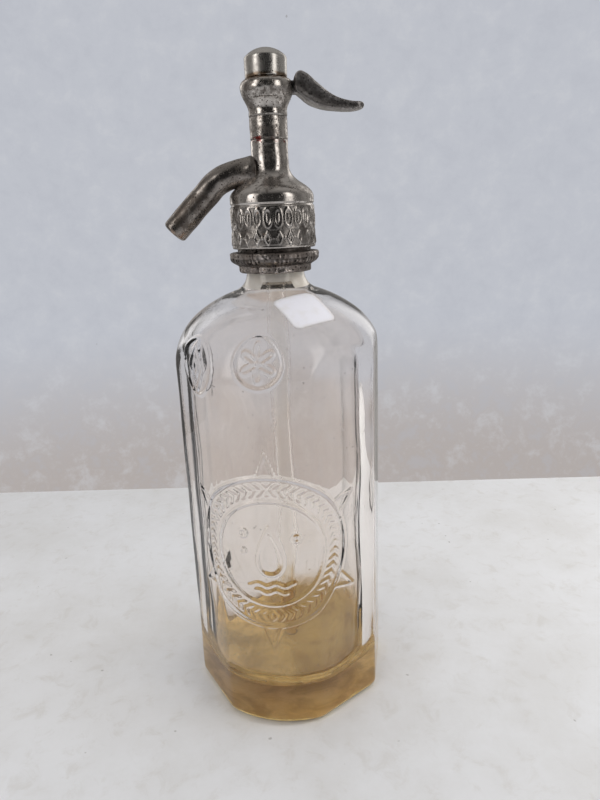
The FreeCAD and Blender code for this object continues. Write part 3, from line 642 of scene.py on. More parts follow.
def bottleProfile(angles):
    # Radius and height of every point, row by row: up the outside, over the lip and down to the inner floor.
    b = SimpleNamespace(**bottle)
    rows = []

    def addRows(r, z):
        rows.append(np.stack(np.broadcast_arrays(r * np.ones(len(angles)), z), axis=-1))

    side = facetedRadius(angles, b.circle)
    t = np.linspace(0, 1, 14)[:-1, None]
    addRows(t * b.recess, b.recessDepth * (1 - t ** 2))
    t = np.linspace(0, 1, 9)[:-1, None]
    addRows(b.recess + t * (side - b.heel - b.recess), 0)
    a = np.radians(np.linspace(0, 90, 8))[:-1, None]
    addRows(side - b.heel + b.heel * np.sin(a), b.heel - b.heel * np.cos(a))
    z = np.linspace(b.heel, b.sideTop, 800)
    step = np.where(z > 162, 0.66, np.where((z > 44) & (z < 142), 0.58, 3.2))
    addRows(side, spread(z[:, None], step)[:-1])

    outer = np.concatenate([
        arc((b.circle - b.sideArc, b.sideTop), b.sideArc, 0, b.sideTurn, 60),
        arc((0, b.crownHeight), b.crownArc, b.sideTurn, b.crownTurn, 40),
        arc(b.filletAt, b.neckFillet, 180 + b.crownTurn, 180, 20),
        roundedLine(
            (b.neckRadius, b.filletAt[1], 0), (b.neckRadius, b.beadFrom, 0.8),
            (b.beadRadius, b.beadFrom + 0.4, 1.4), (b.beadRadius, b.beadTo, 1.4),
            (b.lipRadius, b.beadTo + 0.4, 0.8), (b.lipRadius, b.lip, 1.6), (b.bore, b.lip, 1.2),
            (b.bore, 215.0, 0))[1:]])
    outer = spread(outer, np.where(outer[:, 1] < 194, 0.66, 1.6))
    outerCount = sum(map(len, rows)) + np.argmax(outer[:, 1])
    addRows(facetedRadius(angles, outer[:, :1]), outer[:, 1:])

    inner = np.concatenate([
        arc((19.5, 213.5), 10.0, 180, 249, 10), arc((0, b.crownHeight), b.insideCrown, 72, b.sideTurn, 16),
        arc((b.inside - b.insideArc, b.sideTop), b.insideArc, b.sideTurn, 0, 20), [[b.inside, 100.0]],
        arc((b.inside - b.floorCorner, b.insideFloor + b.floorCorner), b.floorCorner, 0, -90, 20),
        [[0.0, b.insideFloor]]])
    inner = spread(inner, np.where(inner[:, 1] < 44, 1.6, 5.0))
    inner[-1, 0] = 0.0
    addRows(inner[:, :1], inner[:, 1:])
    rz = np.concatenate(rows)
    return rz[..., 0], rz[..., 1], (np.arange(len(rz)) < outerCount)[:, None]


def bottleGrid():
    # The profile, with its relief raised, its panels sunk, and slow waves in both walls.
    angles = bottleAngles()
    r, z, outside = bottleProfile(angles)
    relief, sunk = np.zeros(r.shape), np.zeros(r.shape)
    shown = outside & (z > 40) & (z < 200) & (r > 38)
    spot = np.broadcast_to(angles, r.shape)[shown], z[shown]
    relief[shown] = np.maximum.reduce([medallionRelief(*spot), rosetteRelief(*spot), roundelRelief(*spot)])
    sunk[shown] = sunkPanels(*spot)
    smooth = polar(r, angles, z)
    worn = 0.85 + 0.12 * waves(smooth, 22, 5)
    swell = bottle["outerWave"] * np.clip(waves(smooth, 34, 7), -1.6, 0.9) - 0.10
    lift = np.where(outside & (z > 4) & (z < 205), swell, 0)
    inside = ~outside & (z < 206)
    lift = np.where(inside, bottle["innerWave"] * waves(smooth, 46, 11) * np.clip(r / 12, 0, 1), lift)
    r = np.maximum(r + lift - sunk + relief * np.clip(worn, 0.5, 1.0), 0)
    z = z + np.where(inside & (z < 30), 0.35 * waves(smooth, 30, 13), 0)
    edge = 30 + 0.42 * smooth[..., 0] + 4 * waves(smooth, 60, 17)
    deposit = np.where(inside, np.clip((edge - z) / 18, 0, 1), 0)
    edge = 20 + 3 * waves(smooth, 40, 19)
    deposit = np.where(outside & (z < 30), 0.8 * np.clip((edge - z) / 9, 0, 1), deposit)
    return polar(r, angles, z), {"deposit": deposit, "raised": relief}


bottleMesh = gridMesh("bottle_body", *bottleGrid())
addPiece(bottleMesh, bottleGlass, "root", ["bottle"])

# Light and dark colour of each scale, in the order of the mesh's material slots after the glass.
crusts = {
    "residue_crust": ((0.76, 0.54, 0.21), (0.50, 0.33, 0.11)),
    # Under the foot: the deposit's amber seen through the base, made bright as a painted glow of light
    # through it.
    "foot_deposit_and_glow": ((0.82, 0.61, 0.25), (0.56, 0.385, 0.13)),
    "neck_bloom": ((0.93, 0.90, 0.86), (0.80, 0.75, 0.68)),
}


def makeCrust(name, light, dark):
    # Opaque scale that lies against the glass itself, so that the thick foot carries its colour. Under the
    # foot it is the deposit's amber with a painted glow.
    material, shader, place = startMaterial(name)
    cloud = noise(place, 75.0, 5.0, 0.62, 0.6)
    fine = noise(place, 520.0, 4.0, 0.65)
    between = tuple(0.5 * (a + b) for a, b in zip(light, dark))
    colour = mixed(ramp(cloud, 0.35, 0.66), light, dark)
    colour = mixed(ramp(fine, 0.52, 0.72, 0.0, 0.45), colour, between)
    feed(shader, Base_Color=colour, Roughness=ramp(fine, 0.3, 0.7, 0.45, 0.65), Normal=bump(fine, 0.05))
    return material


def markCrust(mesh):
    # Faces on the inner floor and inside the neck take their scale instead of glass. Faces under the foot
    # take the deposit's amber, made bright as a painted glow of light through the base.
    centres = np.zeros(len(mesh.polygons) * 3, np.float32)
    mesh.polygons.foreach_get("center", centres)
    centres = centres.reshape(-1, 3) / toMetres
    reach, level = np.hypot(centres[:, 0], centres[:, 1]), centres[:, 2]
    edge = 20.0 + 1.4 * waves(centres, 34, 91) + 0.05 * centres[:, 0]
    onFloor = (level > 12.5) & (level < edge) & (reach < 43.6)
    underFoot = level < 2.9 + 0.4 * waves(centres, 30, 93)
    inNeck = (level > 206.5 + 0.6 * waves(centres, 16, 95)) & (level < 217) & (reach < 12.9)
    for name, (light, dark) in crusts.items():
        mesh.materials.append(makeCrust(name, light, dark))
    index = np.select([onFloor, underFoot, inNeck], [1, 2, 3], 0)
    mesh.polygons.foreach_set("material_index", index.astype(np.int32))


markCrust(bottleMesh)
print("bottle made:", len(bottleMesh.polygons), "faces")


residue = dict(
    gap=0.87, thick=0.25, top=44.0, colour=(0.64, 0.45, 0.155), deep=(0.42, 0.27, 0.085),
    fleck=(0.55, 0.40, 0.19), most=0.78, slope=(0.38, 0.06), cloudRise=16, edge=(1, 18), streaks=(16, 36))


def makeResidueFinish():
    # Dried amber scale: thick on the floor, thinning into streaks and specks up the wall.
    material, shader, place = startMaterial("dried_residue")
    x, y, z = parts(place)
    cloud = noise(place, 60.0, 5.0, 0.62, 0.5)
    fine = noise(objectPlace(material.node_tree, (1, 1, 0.4)), 420.0, 4.0, 0.65)
    side = plus(times(x, residue["slope"][0]), times(y, residue["slope"][1]))
    level = minus(z, plus(side, times(cloud, residue["cloudRise"] * toMetres)))
    body = ramp(level, *metres(*residue["edge"]), 1.0, 0.0)
    thin = times(ramp(level, *metres(*residue["streaks"]), 1.0, 0.0), ramp(fine, 0.56, 0.7, 0.0, 0.35))
    amount = calc("MAXIMUM", times(body, ramp(cloud, 0.25, 0.6, 0.62, 1.0)), thin)
    colour = mixed(ramp(cloud, 0.4, 0.66), residue["colour"], residue["deep"])
    colour = mixed(ramp(fine, 0.6, 0.75, 0.0, 0.5), colour, residue["fleck"])
    alpha = times(amount, residue["most"])
    feed(shader, Base_Color=colour, Roughness=0.55, Alpha=alpha, Normal=bump(fine, 0.05))
    return material


def residueGrid():
    # The inner floor, its rounded corner and the foot of the wall, moved in by a gap, with a thin back.
    gap = residue["gap"]
    inside, floor, corner = (bottle[key] for key in ("inside", "insideFloor", "floorCorner"))
    bend = arc((inside - corner, floor + corner), corner - gap, -90, 0, 20)
    face = np.concatenate([[[0, floor + gap]], bend, [[inside - gap, residue["top"]]]])
    lean = np.linspace(math.pi / 2, 0, len(face))
    back = face[::-1] - np.stack([np.sin(lean), -np.cos(lean)], axis=1) * residue["thick"]
    back[-1, 0] = 0
    return turned(np.concatenate([spread(face, 1.6), spread(back, 1.6)]), ringAngles(120))


addPiece(gridMesh("residue_film", residueGrid()), makeResidueFinish(), "root")

dipTube = dict(outer=5.0, inner=3.5, foot=19.0, top=228.77, wave=0.07)


def tubeGrid():
    # A drawn tube: outer and inner walls as one loop of rows, both a little uneven.
    d = SimpleNamespace(**dipTube)
    middle = (d.outer + d.inner) / 2
    loop = roundedLine((middle, d.foot, 0), (d.outer, d.foot, 0.5), (d.outer, d.top, 0.5),
                       (d.inner, d.top, 0.5), (d.inner, d.foot, 0.5), (middle, d.foot, 0))
    angles = ringAngles(48)
    grid = turned(spread(loop, 2.0)[:-1], angles)
    sway = d.wave * waves(grid, 17, 23) * (grid[..., 2] < 205)
    return grid + polar(sway, angles, 0)


addPiece(gridMesh("dip_tube_glass", tubeGrid(), ends="ring"), tubeGlass, "root", ["dip_tube"])

label = dict(at=-68.5, tilt=59.3, turn=11, side=21.2, corner=3.0, thick=0.18, ball=62.0, centre=146.0)


def labelGrid():
    # Rings of a rounded square, laid on the ball of the shoulder, first its back and then its face.
    d, tilt, roll = (math.radians(label[key]) for key in ("at", "tilt", "turn"))
    out = np.array([math.cos(tilt) * math.cos(d), math.cos(tilt) * math.sin(d), math.sin(tilt)])
    east = np.array([-math.sin(d), math.cos(d), 0])
    north = np.cross(out, east)
    across = math.cos(roll) * east + math.sin(roll) * north
    along = -math.sin(roll) * east + math.cos(roll) * north
    half, corner = label["side"] / 2, label["corner"]
    run = np.linspace(-half + corner, half - corner, 14)
    bend = np.linspace(0, math.pi / 2, 7)[1:-1]
    curve = half - corner + corner * np.stack([np.cos(bend), np.sin(bend)], axis=1)
    quarter = np.concatenate([np.stack([np.full(14, half), run], axis=1), curve])
    turns = [(math.cos(k * math.pi / 2), math.sin(k * math.pi / 2)) for k in range(4)]
    edge = np.concatenate([quarter @ np.array([[c, s], [-s, c]]) for c, s in turns])
    shares = np.concatenate([np.linspace(0, 1, 12), np.linspace(1, 0, 12)])
    ab = shares[:, None, None] * edge[None]
    lift = np.repeat([0.02, 0.02 + label["thick"]], 12)[:, None]
    curl = np.clip(np.abs(ab).max(-1) / half - 0.8, 0, 1) ** 2 * 6 * np.clip(ab[..., 0] / half, 0, 1)
    flat = ab[..., :1] * across + ab[..., 1:] * along + out * label["ball"]
    flat = flat / np.linalg.norm(flat, axis=-1, keepdims=True) * (label["ball"] + lift + curl)[..., None]
    rim = np.broadcast_to(np.clip(shares[:, None] * 8 - 7, 0, 1), ab.shape[:2])
    return flat + np.array([0, 0, label["centre"]]), {"rim": rim}


addPiece(gridMesh("shoulder_label", *labelGrid()), labelPaper, "root", ["paper_label"])
print("dip tube and label made")


bell = dict(
    radius=19.1, foot=223.87, column=8.36, top=269.97, inner=17.3, bore=5.0, rowA=(232.9, 241.2),
    rowB=(225.4, 231.9), reeds=26, beads=24, lines=(224.9, 232.4, 241.6), reliefHeight=0.45, dent=0.10)


def bellGrid():
    # The profile goes up the S-shaped shoulder to the column, and down a narrow bore and the skirt.
    b = SimpleNamespace(**bell)
    skirt, groove = b.radius - 0.1, b.radius - 0.45
    loop = np.concatenate([
        roundedLine((b.inner, b.foot + 14, 0), (b.inner, b.foot, 0.5), (skirt, b.foot, 0.9),
                    (skirt, b.foot + 1.6, 0)),
        [[b.radius, b.foot + 1.9], [b.radius, 241.9]],
        roundedLine((b.radius, 242.1, 0), (groove, 242.5, 0.3), (groove, 242.97, 0.2), (b.radius, 243.3, 0)),
        roundedLine((b.radius, 243.4, 0), (b.radius, 248.3, 5.2), (b.column, 255.4, 5.6),
                    (b.column, 262.5, 0)),
        roundedLine((b.column, 266.6, 0), (b.column - 0.22, 266.95, 0.2), (b.column, 267.3, 0)),
        roundedLine((b.column, 267.6, 0), (b.column, b.top, 0.2), (b.bore, b.top, 0.3),
                    (b.bore, b.foot + 20, 0.5), (b.inner, b.foot + 14, 0.5))])
    step = np.where((loop[:, 0] > 17.5) & (loop[:, 1] > 224), 0.34, 0.8)
    loop = spread(loop, np.where(loop[:, 0] < 5.5, 3.0, step))[:-1]
    angles = ringAngles(416)
    grid = turned(loop, angles)
    z = grid[..., 2]
    outside = (loop[:, 0] > 18)[:, None] & np.ones(len(angles), bool)
    halfA, upA = (b.rowA[1] - b.rowA[0]) / 2, z - sum(b.rowA) / 2
    upB = z - sum(b.rowB) / 2
    place, girth = angles[None] * b.radius, 2 * math.pi * b.radius
    pitchA, pitchB = girth / b.reeds, girth / b.beads
    uA = (place + 0.5 * pitchA) % pitchA - pitchA / 2
    uB = place % pitchB - pitchB / 2
    # Upper row: upright arches, as outlines. Lower row: lozenges with a bead on each side.
    arch = np.abs(np.hypot(uA / 1.65, upA / (halfA - 0.5)) - 1) * 1.65
    lozenge = np.abs(uB) * 1.25 + np.abs(upB) * 0.6
    relief = np.maximum.reduce([
        ridge(arch, 1.1, b.reliefHeight), ridge(uA, 0.9, b.reliefHeight) * (np.abs(upA) < halfA * 0.45),
        ridge((lozenge - 1.6) / 1.3, 1.0, b.reliefHeight),
        ridge(np.hypot(np.abs(uB) - pitchB / 2, upB / 1.2), 1.0, b.reliefHeight * 0.9),
        *(ridge(z - level, 0.6, 0.18) for level in b.lines)])
    relief = np.where(outside, relief, 0) * np.clip(0.72 + 0.25 * waves(grid, 9, 31), 0.25, 1)
    dent = b.dent * np.clip(waves(grid, 16, 33), -2, 1) - 0.05
    raised = np.where((z > 224.6) & (z < 241.9) & outside, relief / b.reliefHeight, 0.6)
    return grid + polar(relief + np.where(loop[:, :1] > 6, dent, 0), angles, 0), {"raised": raised}


bellMesh = gridMesh("bell_casting", *bellGrid(), ends="ring")
addPiece(bellMesh, metals["worn_nickel"], "root", ["head_body"])

housing = dict(
    column=8.36, foot=269.97, flareFrom=280.97, groove=279.2, bulge=11.7, bulgeAt=290.8, rim=9.25,
    rimAt=294.2, spigot=7.3, spigotTop=300.47, bore=4.6, slotHalf=2.5, slotLow=286.17, slotHigh=293.95,
    slotAt=11.0, pocket=4.9)


def snapTo(values, targets, allowed):
    # Moves the nearest allowed value onto each target, so that a row or column of points lies there.
    for target in targets:
        off = np.where(allowed & ~np.isin(values, targets), np.abs(values - target), 1e9)
        values[np.argmin(off)] = target


def housingGrid():
    # The flare runs from column to bulge on a smooth step, and the lever's slot is pressed in as a pocket.
    h = SimpleNamespace(**housing)
    t = np.linspace(0, 1, 40)
    rise = 0.55 * t * t * t * (t * (6 * t - 15) + 10) + 0.45 * t * t * (3 - 2 * t)
    flare = np.stack([h.column + (h.bulge - h.column) * rise,
                      h.flareFrom + t * (h.bulgeAt - h.flareFrom)], axis=1)
    t = np.linspace(0, 1, 20)[1:]
    top = np.stack([h.bulge - (h.bulge - h.rim) * (1 - np.sqrt(1 - t ** 2 * 0.96)) / 0.8,
                    h.bulgeAt + t * (h.rimAt - h.bulgeAt)], axis=1)
    loop = np.concatenate([
        roundedLine((h.bore, h.foot + 2, 0), (h.bore, h.foot, 0.3), (h.column, h.foot, 0.45),
                    (h.column, h.groove - 0.5, 0)),
        roundedLine((h.column, h.groove - 0.4, 0), (h.column - 0.3, h.groove, 0.2),
                    (h.column + 0.12, h.groove + 0.4, 0.2), (h.column + 0.1, h.flareFrom, 0)),
        flare[1:], top,
        roundedLine((h.spigot, h.rimAt, 0), (h.spigot, h.spigotTop, 0.4), (h.bore, h.spigotTop, 0.4),
                    (h.bore, h.foot + 2, 0))])
    loop = spread(loop, np.where(loop[:, 0] < 5, 3.0, 0.36))[:-1]
    close = np.array([-0.02, 0.02])
    cuts = np.concatenate([h.slotLow + close, h.slotHigh + close])
    snapTo(loop[:, 1], cuts, (loop[:, 0] > 8) & (loop[:, 1] > 283))
    base = np.radians(np.linspace(-180, 180, 260, endpoint=False))
    snapTo(base, np.arcsin(np.concatenate([close - h.slotHalf, close + h.slotHalf]) / h.slotAt), True)
    base = np.sort(base)
    # Near the slot, columns keep their distance from the middle plane instead of their angle.
    r = loop[:, :1]
    held = np.clip((math.radians(60) - np.abs(base)) / math.radians(35), 0, 1)
    exact = np.arcsin(np.clip(h.slotAt * np.sin(base) / np.maximum(r, 8.0), -0.97, 0.97))
    angles = np.where((np.abs(base) < math.radians(60)) & (r > 8), base + (exact - base) * held, base)
    grid = polar(r, angles, loop[:, 1:])
    x, y, z = grid[..., 0], grid[..., 1], grid[..., 2]
    dent = 0.07 * np.clip(waves(grid, 8, 41), -2, 1) + 0.06 * hump(z, 290.5, 3.0) - 0.03
    slotNear = (np.abs(y) < 3.6) & (x > 0)
    grid = grid + polar(np.where((r > 7.9) & ~slotNear, dent, 0), angles, 0)
    x, y, z = grid[..., 0], grid[..., 1], grid[..., 2]
    inSlot = (r > 8) & (x > 0) & (np.abs(y) < h.slotHalf) & (z > h.slotLow) & (z < h.slotHigh)
    x[inSlot] = h.pocket
    raised = np.where(np.abs(z - h.groove) < 0.45, 0.1, 0.62)
    return grid, {"raised": np.where(inSlot, 0.0, raised)}


housingMesh = gridMesh("valve_casting", *housingGrid(), ends="ring")
addPiece(housingMesh, metals["pitted_nickel"], "root", ["valve_housing"])

cap = dict(
    foot=294.3, footRadius=9.13, rimRadius=9.25, rim=302.57, apex=306.55, dome=12.7, inner=7.6, roof=303.9)


def capGrid():
    # A dome of the given radius, a rounded rim, a slightly tapered side, and a hollow for the spring.
    c = SimpleNamespace(**cap)
    reach = math.degrees(math.asin((c.rimRadius - 0.5) / c.dome))
    dome = arc((0, c.apex - c.dome), c.dome, 90, 90 - reach, 60)
    dome[:, 1] -= 0.14 * hump(dome[:, 0], 2.6, 0.35)
    side = roundedLine((*dome[-1], 0), (c.rimRadius, c.rim - 0.05, 0.45), (c.footRadius, c.foot, 0.5),
                       (c.inner, c.foot, 0.4), (c.inner, c.roof, 0.6), (0, c.roof, 0))
    line = spread(np.concatenate([dome, side[1:]]), 0.42)
    line[0, 0] = line[-1, 0] = 0
    angles = ringAngles(180)
    grid = turned(line, angles)
    dent = 0.05 * np.clip(waves(grid, 11, 51), -2, 0.5) - 0.02
    return grid + polar(np.where(line[:, :1] > 8.3, dent, 0), angles, 0)


addPiece(gridMesh("cap_turned", capGrid()), metals["cap_nickel"], "root", ["top_cap"])

spout = dict(
    level=256.47, radius=5.85, bore=3.5, rootX=-6.4, rootRadius=7.7, coneFrom=-7, coneEnd=-19.0, bendX=-12.8,
    bendRadius=20.0, bend=45, nozzle=26.3, rim=1.5, lipIn=0.7, boreDepth=16.0)


def spoutGrid():
    # Rings along a level run, a bend and a straight nozzle, over the rim and back down the bore.
    s = SimpleNamespace(**spout)
    run = np.linspace(s.rootX, s.bendX, 12)[:-1]
    a = np.radians(np.linspace(0, s.bend, 26))
    bend = np.stack([s.bendX - s.bendRadius * np.sin(a), s.level - s.bendRadius * (1 - np.cos(a))], axis=1)
    way = np.array([-math.cos(a[-1]), -math.sin(a[-1])])
    nozzle = bend[-1] + np.linspace(0, s.nozzle, 44)[1:, None] * way
    line = np.concatenate([np.stack([run, np.full(11, s.level)], axis=1), bend, nozzle])
    length = np.concatenate([[0], np.cumsum(np.linalg.norm(np.diff(line, axis=0), axis=1))])
    total = length[-1]
    fade = np.clip((line[:, 0] - s.coneEnd) / (s.coneFrom - s.coneEnd), 0, 1)
    radius = s.radius + (s.rootRadius - s.radius) * fade ** 1.4 + 0.12 * hump(line[:, 0], -9.2, 1.4)
    plain = length < total - s.rim
    q = np.radians(np.linspace(0, 90, 7))
    mouth = np.radians(np.linspace(90, 180, 5))[1:]
    at = np.concatenate([[0], length[plain], total - s.rim + s.rim * np.sin(q),
                         total - s.lipIn + s.lipIn * np.sin(mouth),
                         [total - 5, total - 11, total - s.boreDepth, total - s.boreDepth]])
    size = np.concatenate([[0], radius[plain], s.radius - s.rim + s.rim * np.cos(q),
                           s.bore + s.lipIn + s.lipIn * np.cos(mouth), [s.bore, s.bore, s.bore, 0]])
    x, z = np.interp(at, length, line[:, 0]), np.interp(at, length, line[:, 1])
    lean = np.unwrap(np.arctan2(np.gradient(line[:, 1]), np.gradient(line[:, 0])))
    lean = np.interp(at, length, lean)
    up = np.stack([-np.sin(lean), np.zeros(len(at)), np.cos(lean)], axis=1)
    angles = ringAngles(96)[None, :, None]
    ring = np.cos(angles) * np.array([0.0, 1.0, 0.0]) + np.sin(angles) * up[:, None]
    grid = np.stack([x, np.zeros(len(x)), z], axis=1)[:, None] + ring * size[:, None, None]
    dent = (0.08 * np.clip(waves(grid, 9, 61), -2, 1) - 0.04) * (size > 4.4)[:, None]
    rough = 0.06 * waves(grid, 3.0, 63) * hump(x, -9.0, 1.4)[:, None]
    raised = (0.15 + 0.45 * np.clip((-8.2 - x) / 1.6, 0, 1))[:, None] * np.ones(96)
    return grid + ring * (dent + rough)[..., None], {"raised": raised}


addPiece(gridMesh("spout_pipe", *spoutGrid()), metals["spout_pewter"], "root", ["spout"])
print("head, cap and spout made")


collar = dict(
    gap=0.5, foot=213.27, footRadius=16.84, footHigh=2.9, flange=20.74, flangeTop=222.37, sleeve=16.9,
    top=235.47, innerNeck=14.0, innerBead=15.7, reeds=64, reedHeight=0.3, crease=0.18)
collarHalves = {"collar_half_a": ("collar_half_left", 62), "collar_half_b": ("collar_half_right", -118)}


def collarGrid(first):
    # A closed profile carried through nearly half a turn, reeded on the slope and creased all over.
    c = SimpleNamespace(**collar)
    loop = roundedLine(
        (c.innerNeck, c.foot + 2, 0), (c.innerNeck, c.foot, 0.3), (c.footRadius, c.foot, 0.9),
        (c.footRadius, c.foot + c.footHigh, 0.7), (c.flange - 0.3, c.foot + 5.0, 1.8),
        (c.flange, c.flangeTop - 1.7, 1.4), (c.flange - 0.3, c.flangeTop, 1.5), (c.sleeve, c.flangeTop, 0.5),
        (c.sleeve, c.top, 0.4), (c.innerBead, c.top, 0.4), (c.innerBead, 217.9, 0.5),
        (c.innerNeck, 217.6, 0.5), (c.innerNeck, c.foot + 2, 0))
    loop = spread(loop, 0.42)[:-1]
    halfGap = c.gap / c.flange / 2
    start = math.radians(first)
    angles = np.linspace(start + halfGap, start + math.pi - halfGap, 230)
    grid = turned(loop, angles)
    r, z = loop[:, :1], loop[:, 1:]
    slope = hump(z, 218.3, 1.5) * (r > 17.5)
    rim = hump(z, 221.2, 0.9) * (r > 19.5)
    reed = c.reedHeight * (0.5 + 0.5 * np.cos(angles * c.reeds)) ** 1.5
    relief = (slope * reed + rim * 0.5 * reed) * np.clip(0.6 + 0.4 * waves(grid, 12, 71), 0.1, 1)
    crease = np.clip(waves(grid, 7, 73), -2, 0.8) + 0.5 * np.clip(waves(grid, 2.6, 75), -2, 1)
    shown = (r > 16.2) & (z < c.flangeTop + 0.5)
    grid = grid + polar(relief + np.where(shown, c.crease * crease - 0.12, 0), angles, 0)
    raised = np.where(slope > 0.3, relief / c.reedHeight, 0.62)
    # The sleeve and inner faces above the flange are marked low: painted shade in the gap under the bell's
    # foot.
    raised = np.where((r < 17.6) & (z > c.foot + 6), 0.0, raised)
    # Rows and columns change places, so that the two ends are poles.
    return closeEnds(grid.transpose(1, 0, 2)), {"raised": np.pad(raised.T, ((1, 1), (0, 0)), mode="edge")}


for name, (node, first) in collarHalves.items():
    addPiece(gridMesh(name, *collarGrid(first)), metals["collar_pewter"], "root", [node])
print("collar made")


lever = dict(
    pivot=(8.2, 290.77), tipX=42.2, tipLong=4.5, tipRadius=4.5, halfWidth=6.05, heelX=3.3, heelLong=1.6,
    rootX=11.5, pinch=0.20, corner=0.34, cornerTop=0.5,
    top=[(3.3, 4.3), (6.1, 6.2), (9.1, 5.2), (13.5, 1.5), (19.9, -3.4), (28, -6.2), (34, -6.6)],
    under=[(3.3, -1.6), (5.3, -3.1), (9, -6.1), (14.5, -8.4), (21.5, -9.5), (28, -9.9), (34, -9.3)])


def smoothCurve(points, at):
    # A curve through the points, with slopes from their neighbours (cubic Hermite).
    x, y = np.array(points, float).T
    slope = np.gradient(y, x)
    k = np.clip(np.searchsorted(x, at) - 1, 0, len(x) - 2)
    span = x[k + 1] - x[k]
    t = np.clip((at - x[k]) / span, 0, 1)
    return ((1 + 2 * t) * (1 - t) ** 2 * y[k] + t * (1 - t) ** 2 * span * slope[k]
            + t * t * (3 - 2 * t) * y[k + 1] + t * t * (t - 1) * span * slope[k + 1])


def boxSection(x, width, corner):
    # The x of each ring as a column, and cos and sin raised to the corner's power, which squares a circle.
    c, s = np.cos(ringAngles(width)), np.sin(ringAngles(width))
    power = np.where(s > 0, corner[0], corner[1])
    return x[:, None] * np.ones(width), np.sign(c) * np.abs(c) ** power, np.sign(s) * np.abs(s) ** power


def leverGrid():
    # Rounded box sections from heel to tip: |y/w|^n + |z/h|^n = 1, with flanks pinched between their edges.
    v = SimpleNamespace(**lever)
    tip = v.tipX - v.pivot[0]
    heelEnd, tipFrom = v.heelX + v.heelLong, tip - v.tipLong
    x = np.concatenate([v.heelX + v.heelLong * (1 - np.cos(np.linspace(0, math.pi / 2, 10))),
                        np.linspace(heelEnd, tipFrom, 84)[1:],
                        tipFrom + v.tipLong * np.sin(np.linspace(0, math.pi / 2, 22))[1:]])
    top, under = smoothCurve(v.top, x), smoothCurve(v.under, x)
    centre, half = (top + under) / 2, (top - under) / 2
    root = v.rootX - v.pivot[0]
    width = v.halfWidth + (v.tipRadius - v.halfWidth) * np.clip((x - root) / (tip - root), 0, 1)
    atTip = np.clip((x - tipFrom) / v.tipLong, 0, 1)
    round1 = np.sqrt(np.maximum(1 - np.clip((heelEnd - x) / v.heelLong, 0, 1) ** 2, 0))
    width = width * np.sqrt(np.maximum(1 - atTip ** 2, 0)) * (0.25 + 0.75 * round1)
    half = half * (0.2 + 0.8 * round1) * np.where(atTip > 0, (1 - atTip ** 6) ** 0.5 * 0.9 + 0.1, 1)
    rings, across, up = boxSection(x, 120, (v.cornerTop, v.corner))
    pinch = 1 - v.pinch * (1 - up ** 2) * np.clip(half, 0, 3)[:, None] / 3
    y = width[:, None] * across * pinch
    z = centre[:, None] + half[:, None] * up * (1 - 0.03 * across ** 2 * (up > 0))
    grid = np.stack([rings, y, z], axis=-1)
    grid = grid + 0.05 * waves(grid * np.array([0.35, 1, 1]), 3.5, 81)[..., None] * np.array([0, 1, 0.6])
    # Low on the flanks and high on the top and bottom: painted shade on the flanks and a painted highlight on
    # the top and bottom.
    raised = np.pad(np.clip(0.15 + 0.75 * up ** 2 + 0 * y, 0, 1), ((1, 1), (0, 0)), mode="edge")
    return closeEnds(grid) + np.array([v.pivot[0], 0, v.pivot[1]]), {"raised": raised}


shank = dict(
    at=(-1.5, -1.3, -0.8, 0, 0.8, 1.6, 3.4, 5.2, 5.9, 6.8, 8.2, 9.6, 10.6, 12.5, 15.5, 15.6),
    half=(0.3, 0.75, 1.27, 1.5, 1.27, 0.95, 0.9, 0.95, 1.75, 2.54, 2.9, 2.6, 2.62, 2.7, 2.6, 0.5),
    width=(0.8, 1.6, 1.9, 2.0, 2.0, 2.0, 2.0, 2.0, 2.05, 2.1, 2.15, 2.2, 2.2, 2.2, 2.2, 0.5))


def shankGrid():
    # The neck between the slot and the plate, the boss round the pin, and the tongue under the stem's block.
    key = np.linspace(0, 1, len(shank["at"]))
    x, half, width = (np.interp(np.linspace(0, 1, 60), key, shank[part]) for part in ("at", "half", "width"))
    rings, across, up = boxSection(x, 64, (0.25, 0.25))
    grid = np.stack([rings, width[:, None] * across, half[:, None] * up + lever["pivot"][1]], axis=-1)
    grid = closeEnds(grid)
    return grid, {"raised": np.full(grid.shape[:2], 0.4)}


addPiece(gridMesh("lever_plate", *leverGrid()), metals["lever_iron"], "lever", ["lever"])
addPiece(gridMesh("lever_shank", *shankGrid()), metals["lever_iron"], "lever")
print("lever made")


spring = dict(
    low=294.81, high=303.72, mean=3.1, wire=0.4, turns=5.0, deadTurns=0.75, deadRise=0.08, travel=2.6)


def springGrid():
    # A wire circle carried along a helix whose pitch fades out at both ends, so that the ends lie flat.
    s = SimpleNamespace(**spring)
    turns = np.linspace(0, 1, 420) * (s.turns + 2 * s.deadTurns)
    a = turns * 2 * math.pi
    # From 0 to 1: the dead turns at each end take a small share of the rise, and the live turns the rest.
    first, live, last = (np.clip((turns - start) / long, 0, 1) for start, long in (
        (0, s.deadTurns), (s.deadTurns, s.turns), (s.turns + s.deadTurns, s.deadTurns)))
    rise = (live + s.deadRise * (first + last)) / (1 + 2 * s.deadRise)
    z = s.low + s.wire + rise * (s.high - s.low - 2 * s.wire)
    line = polar(s.mean, a, z)
    along = np.gradient(line, axis=0)
    along /= np.linalg.norm(along, axis=1)[:, None]
    out = polar(1, a, 0)
    up = np.cross(along, out)
    q = ringAngles(12)[None, :, None]
    return closeEnds(line[:, None] + s.wire * (np.cos(q) * out[:, None] + np.sin(q) * up[:, None]))


coilMesh = gridMesh("spring_coil", springGrid())
coil = addPiece(coilMesh, metals["spring_steel"], "root", ["spring"])
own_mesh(coil)
print("spring made")


keptNodes = {
    sealRubber: ("lip_washer", "packing_ring", "cap_gasket", "valve_washer", "tube_sleeve"),
    metals["inner_brass"]: (
        "valve_seat", "gland_ring", "valve_stem", "washer_screw", "spring_washer", "tube_ferrule"),
    metals["pin_steel"]: ("lever_pin",),
}
for material, nodeNames in keptNodes.items():
    for node in (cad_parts[name] for name in nodeNames):
        if not node.data.materials:
            node.data.materials.append(material)
        for place in node.material_slots:
            place.material = material
print("kept nodes finished")


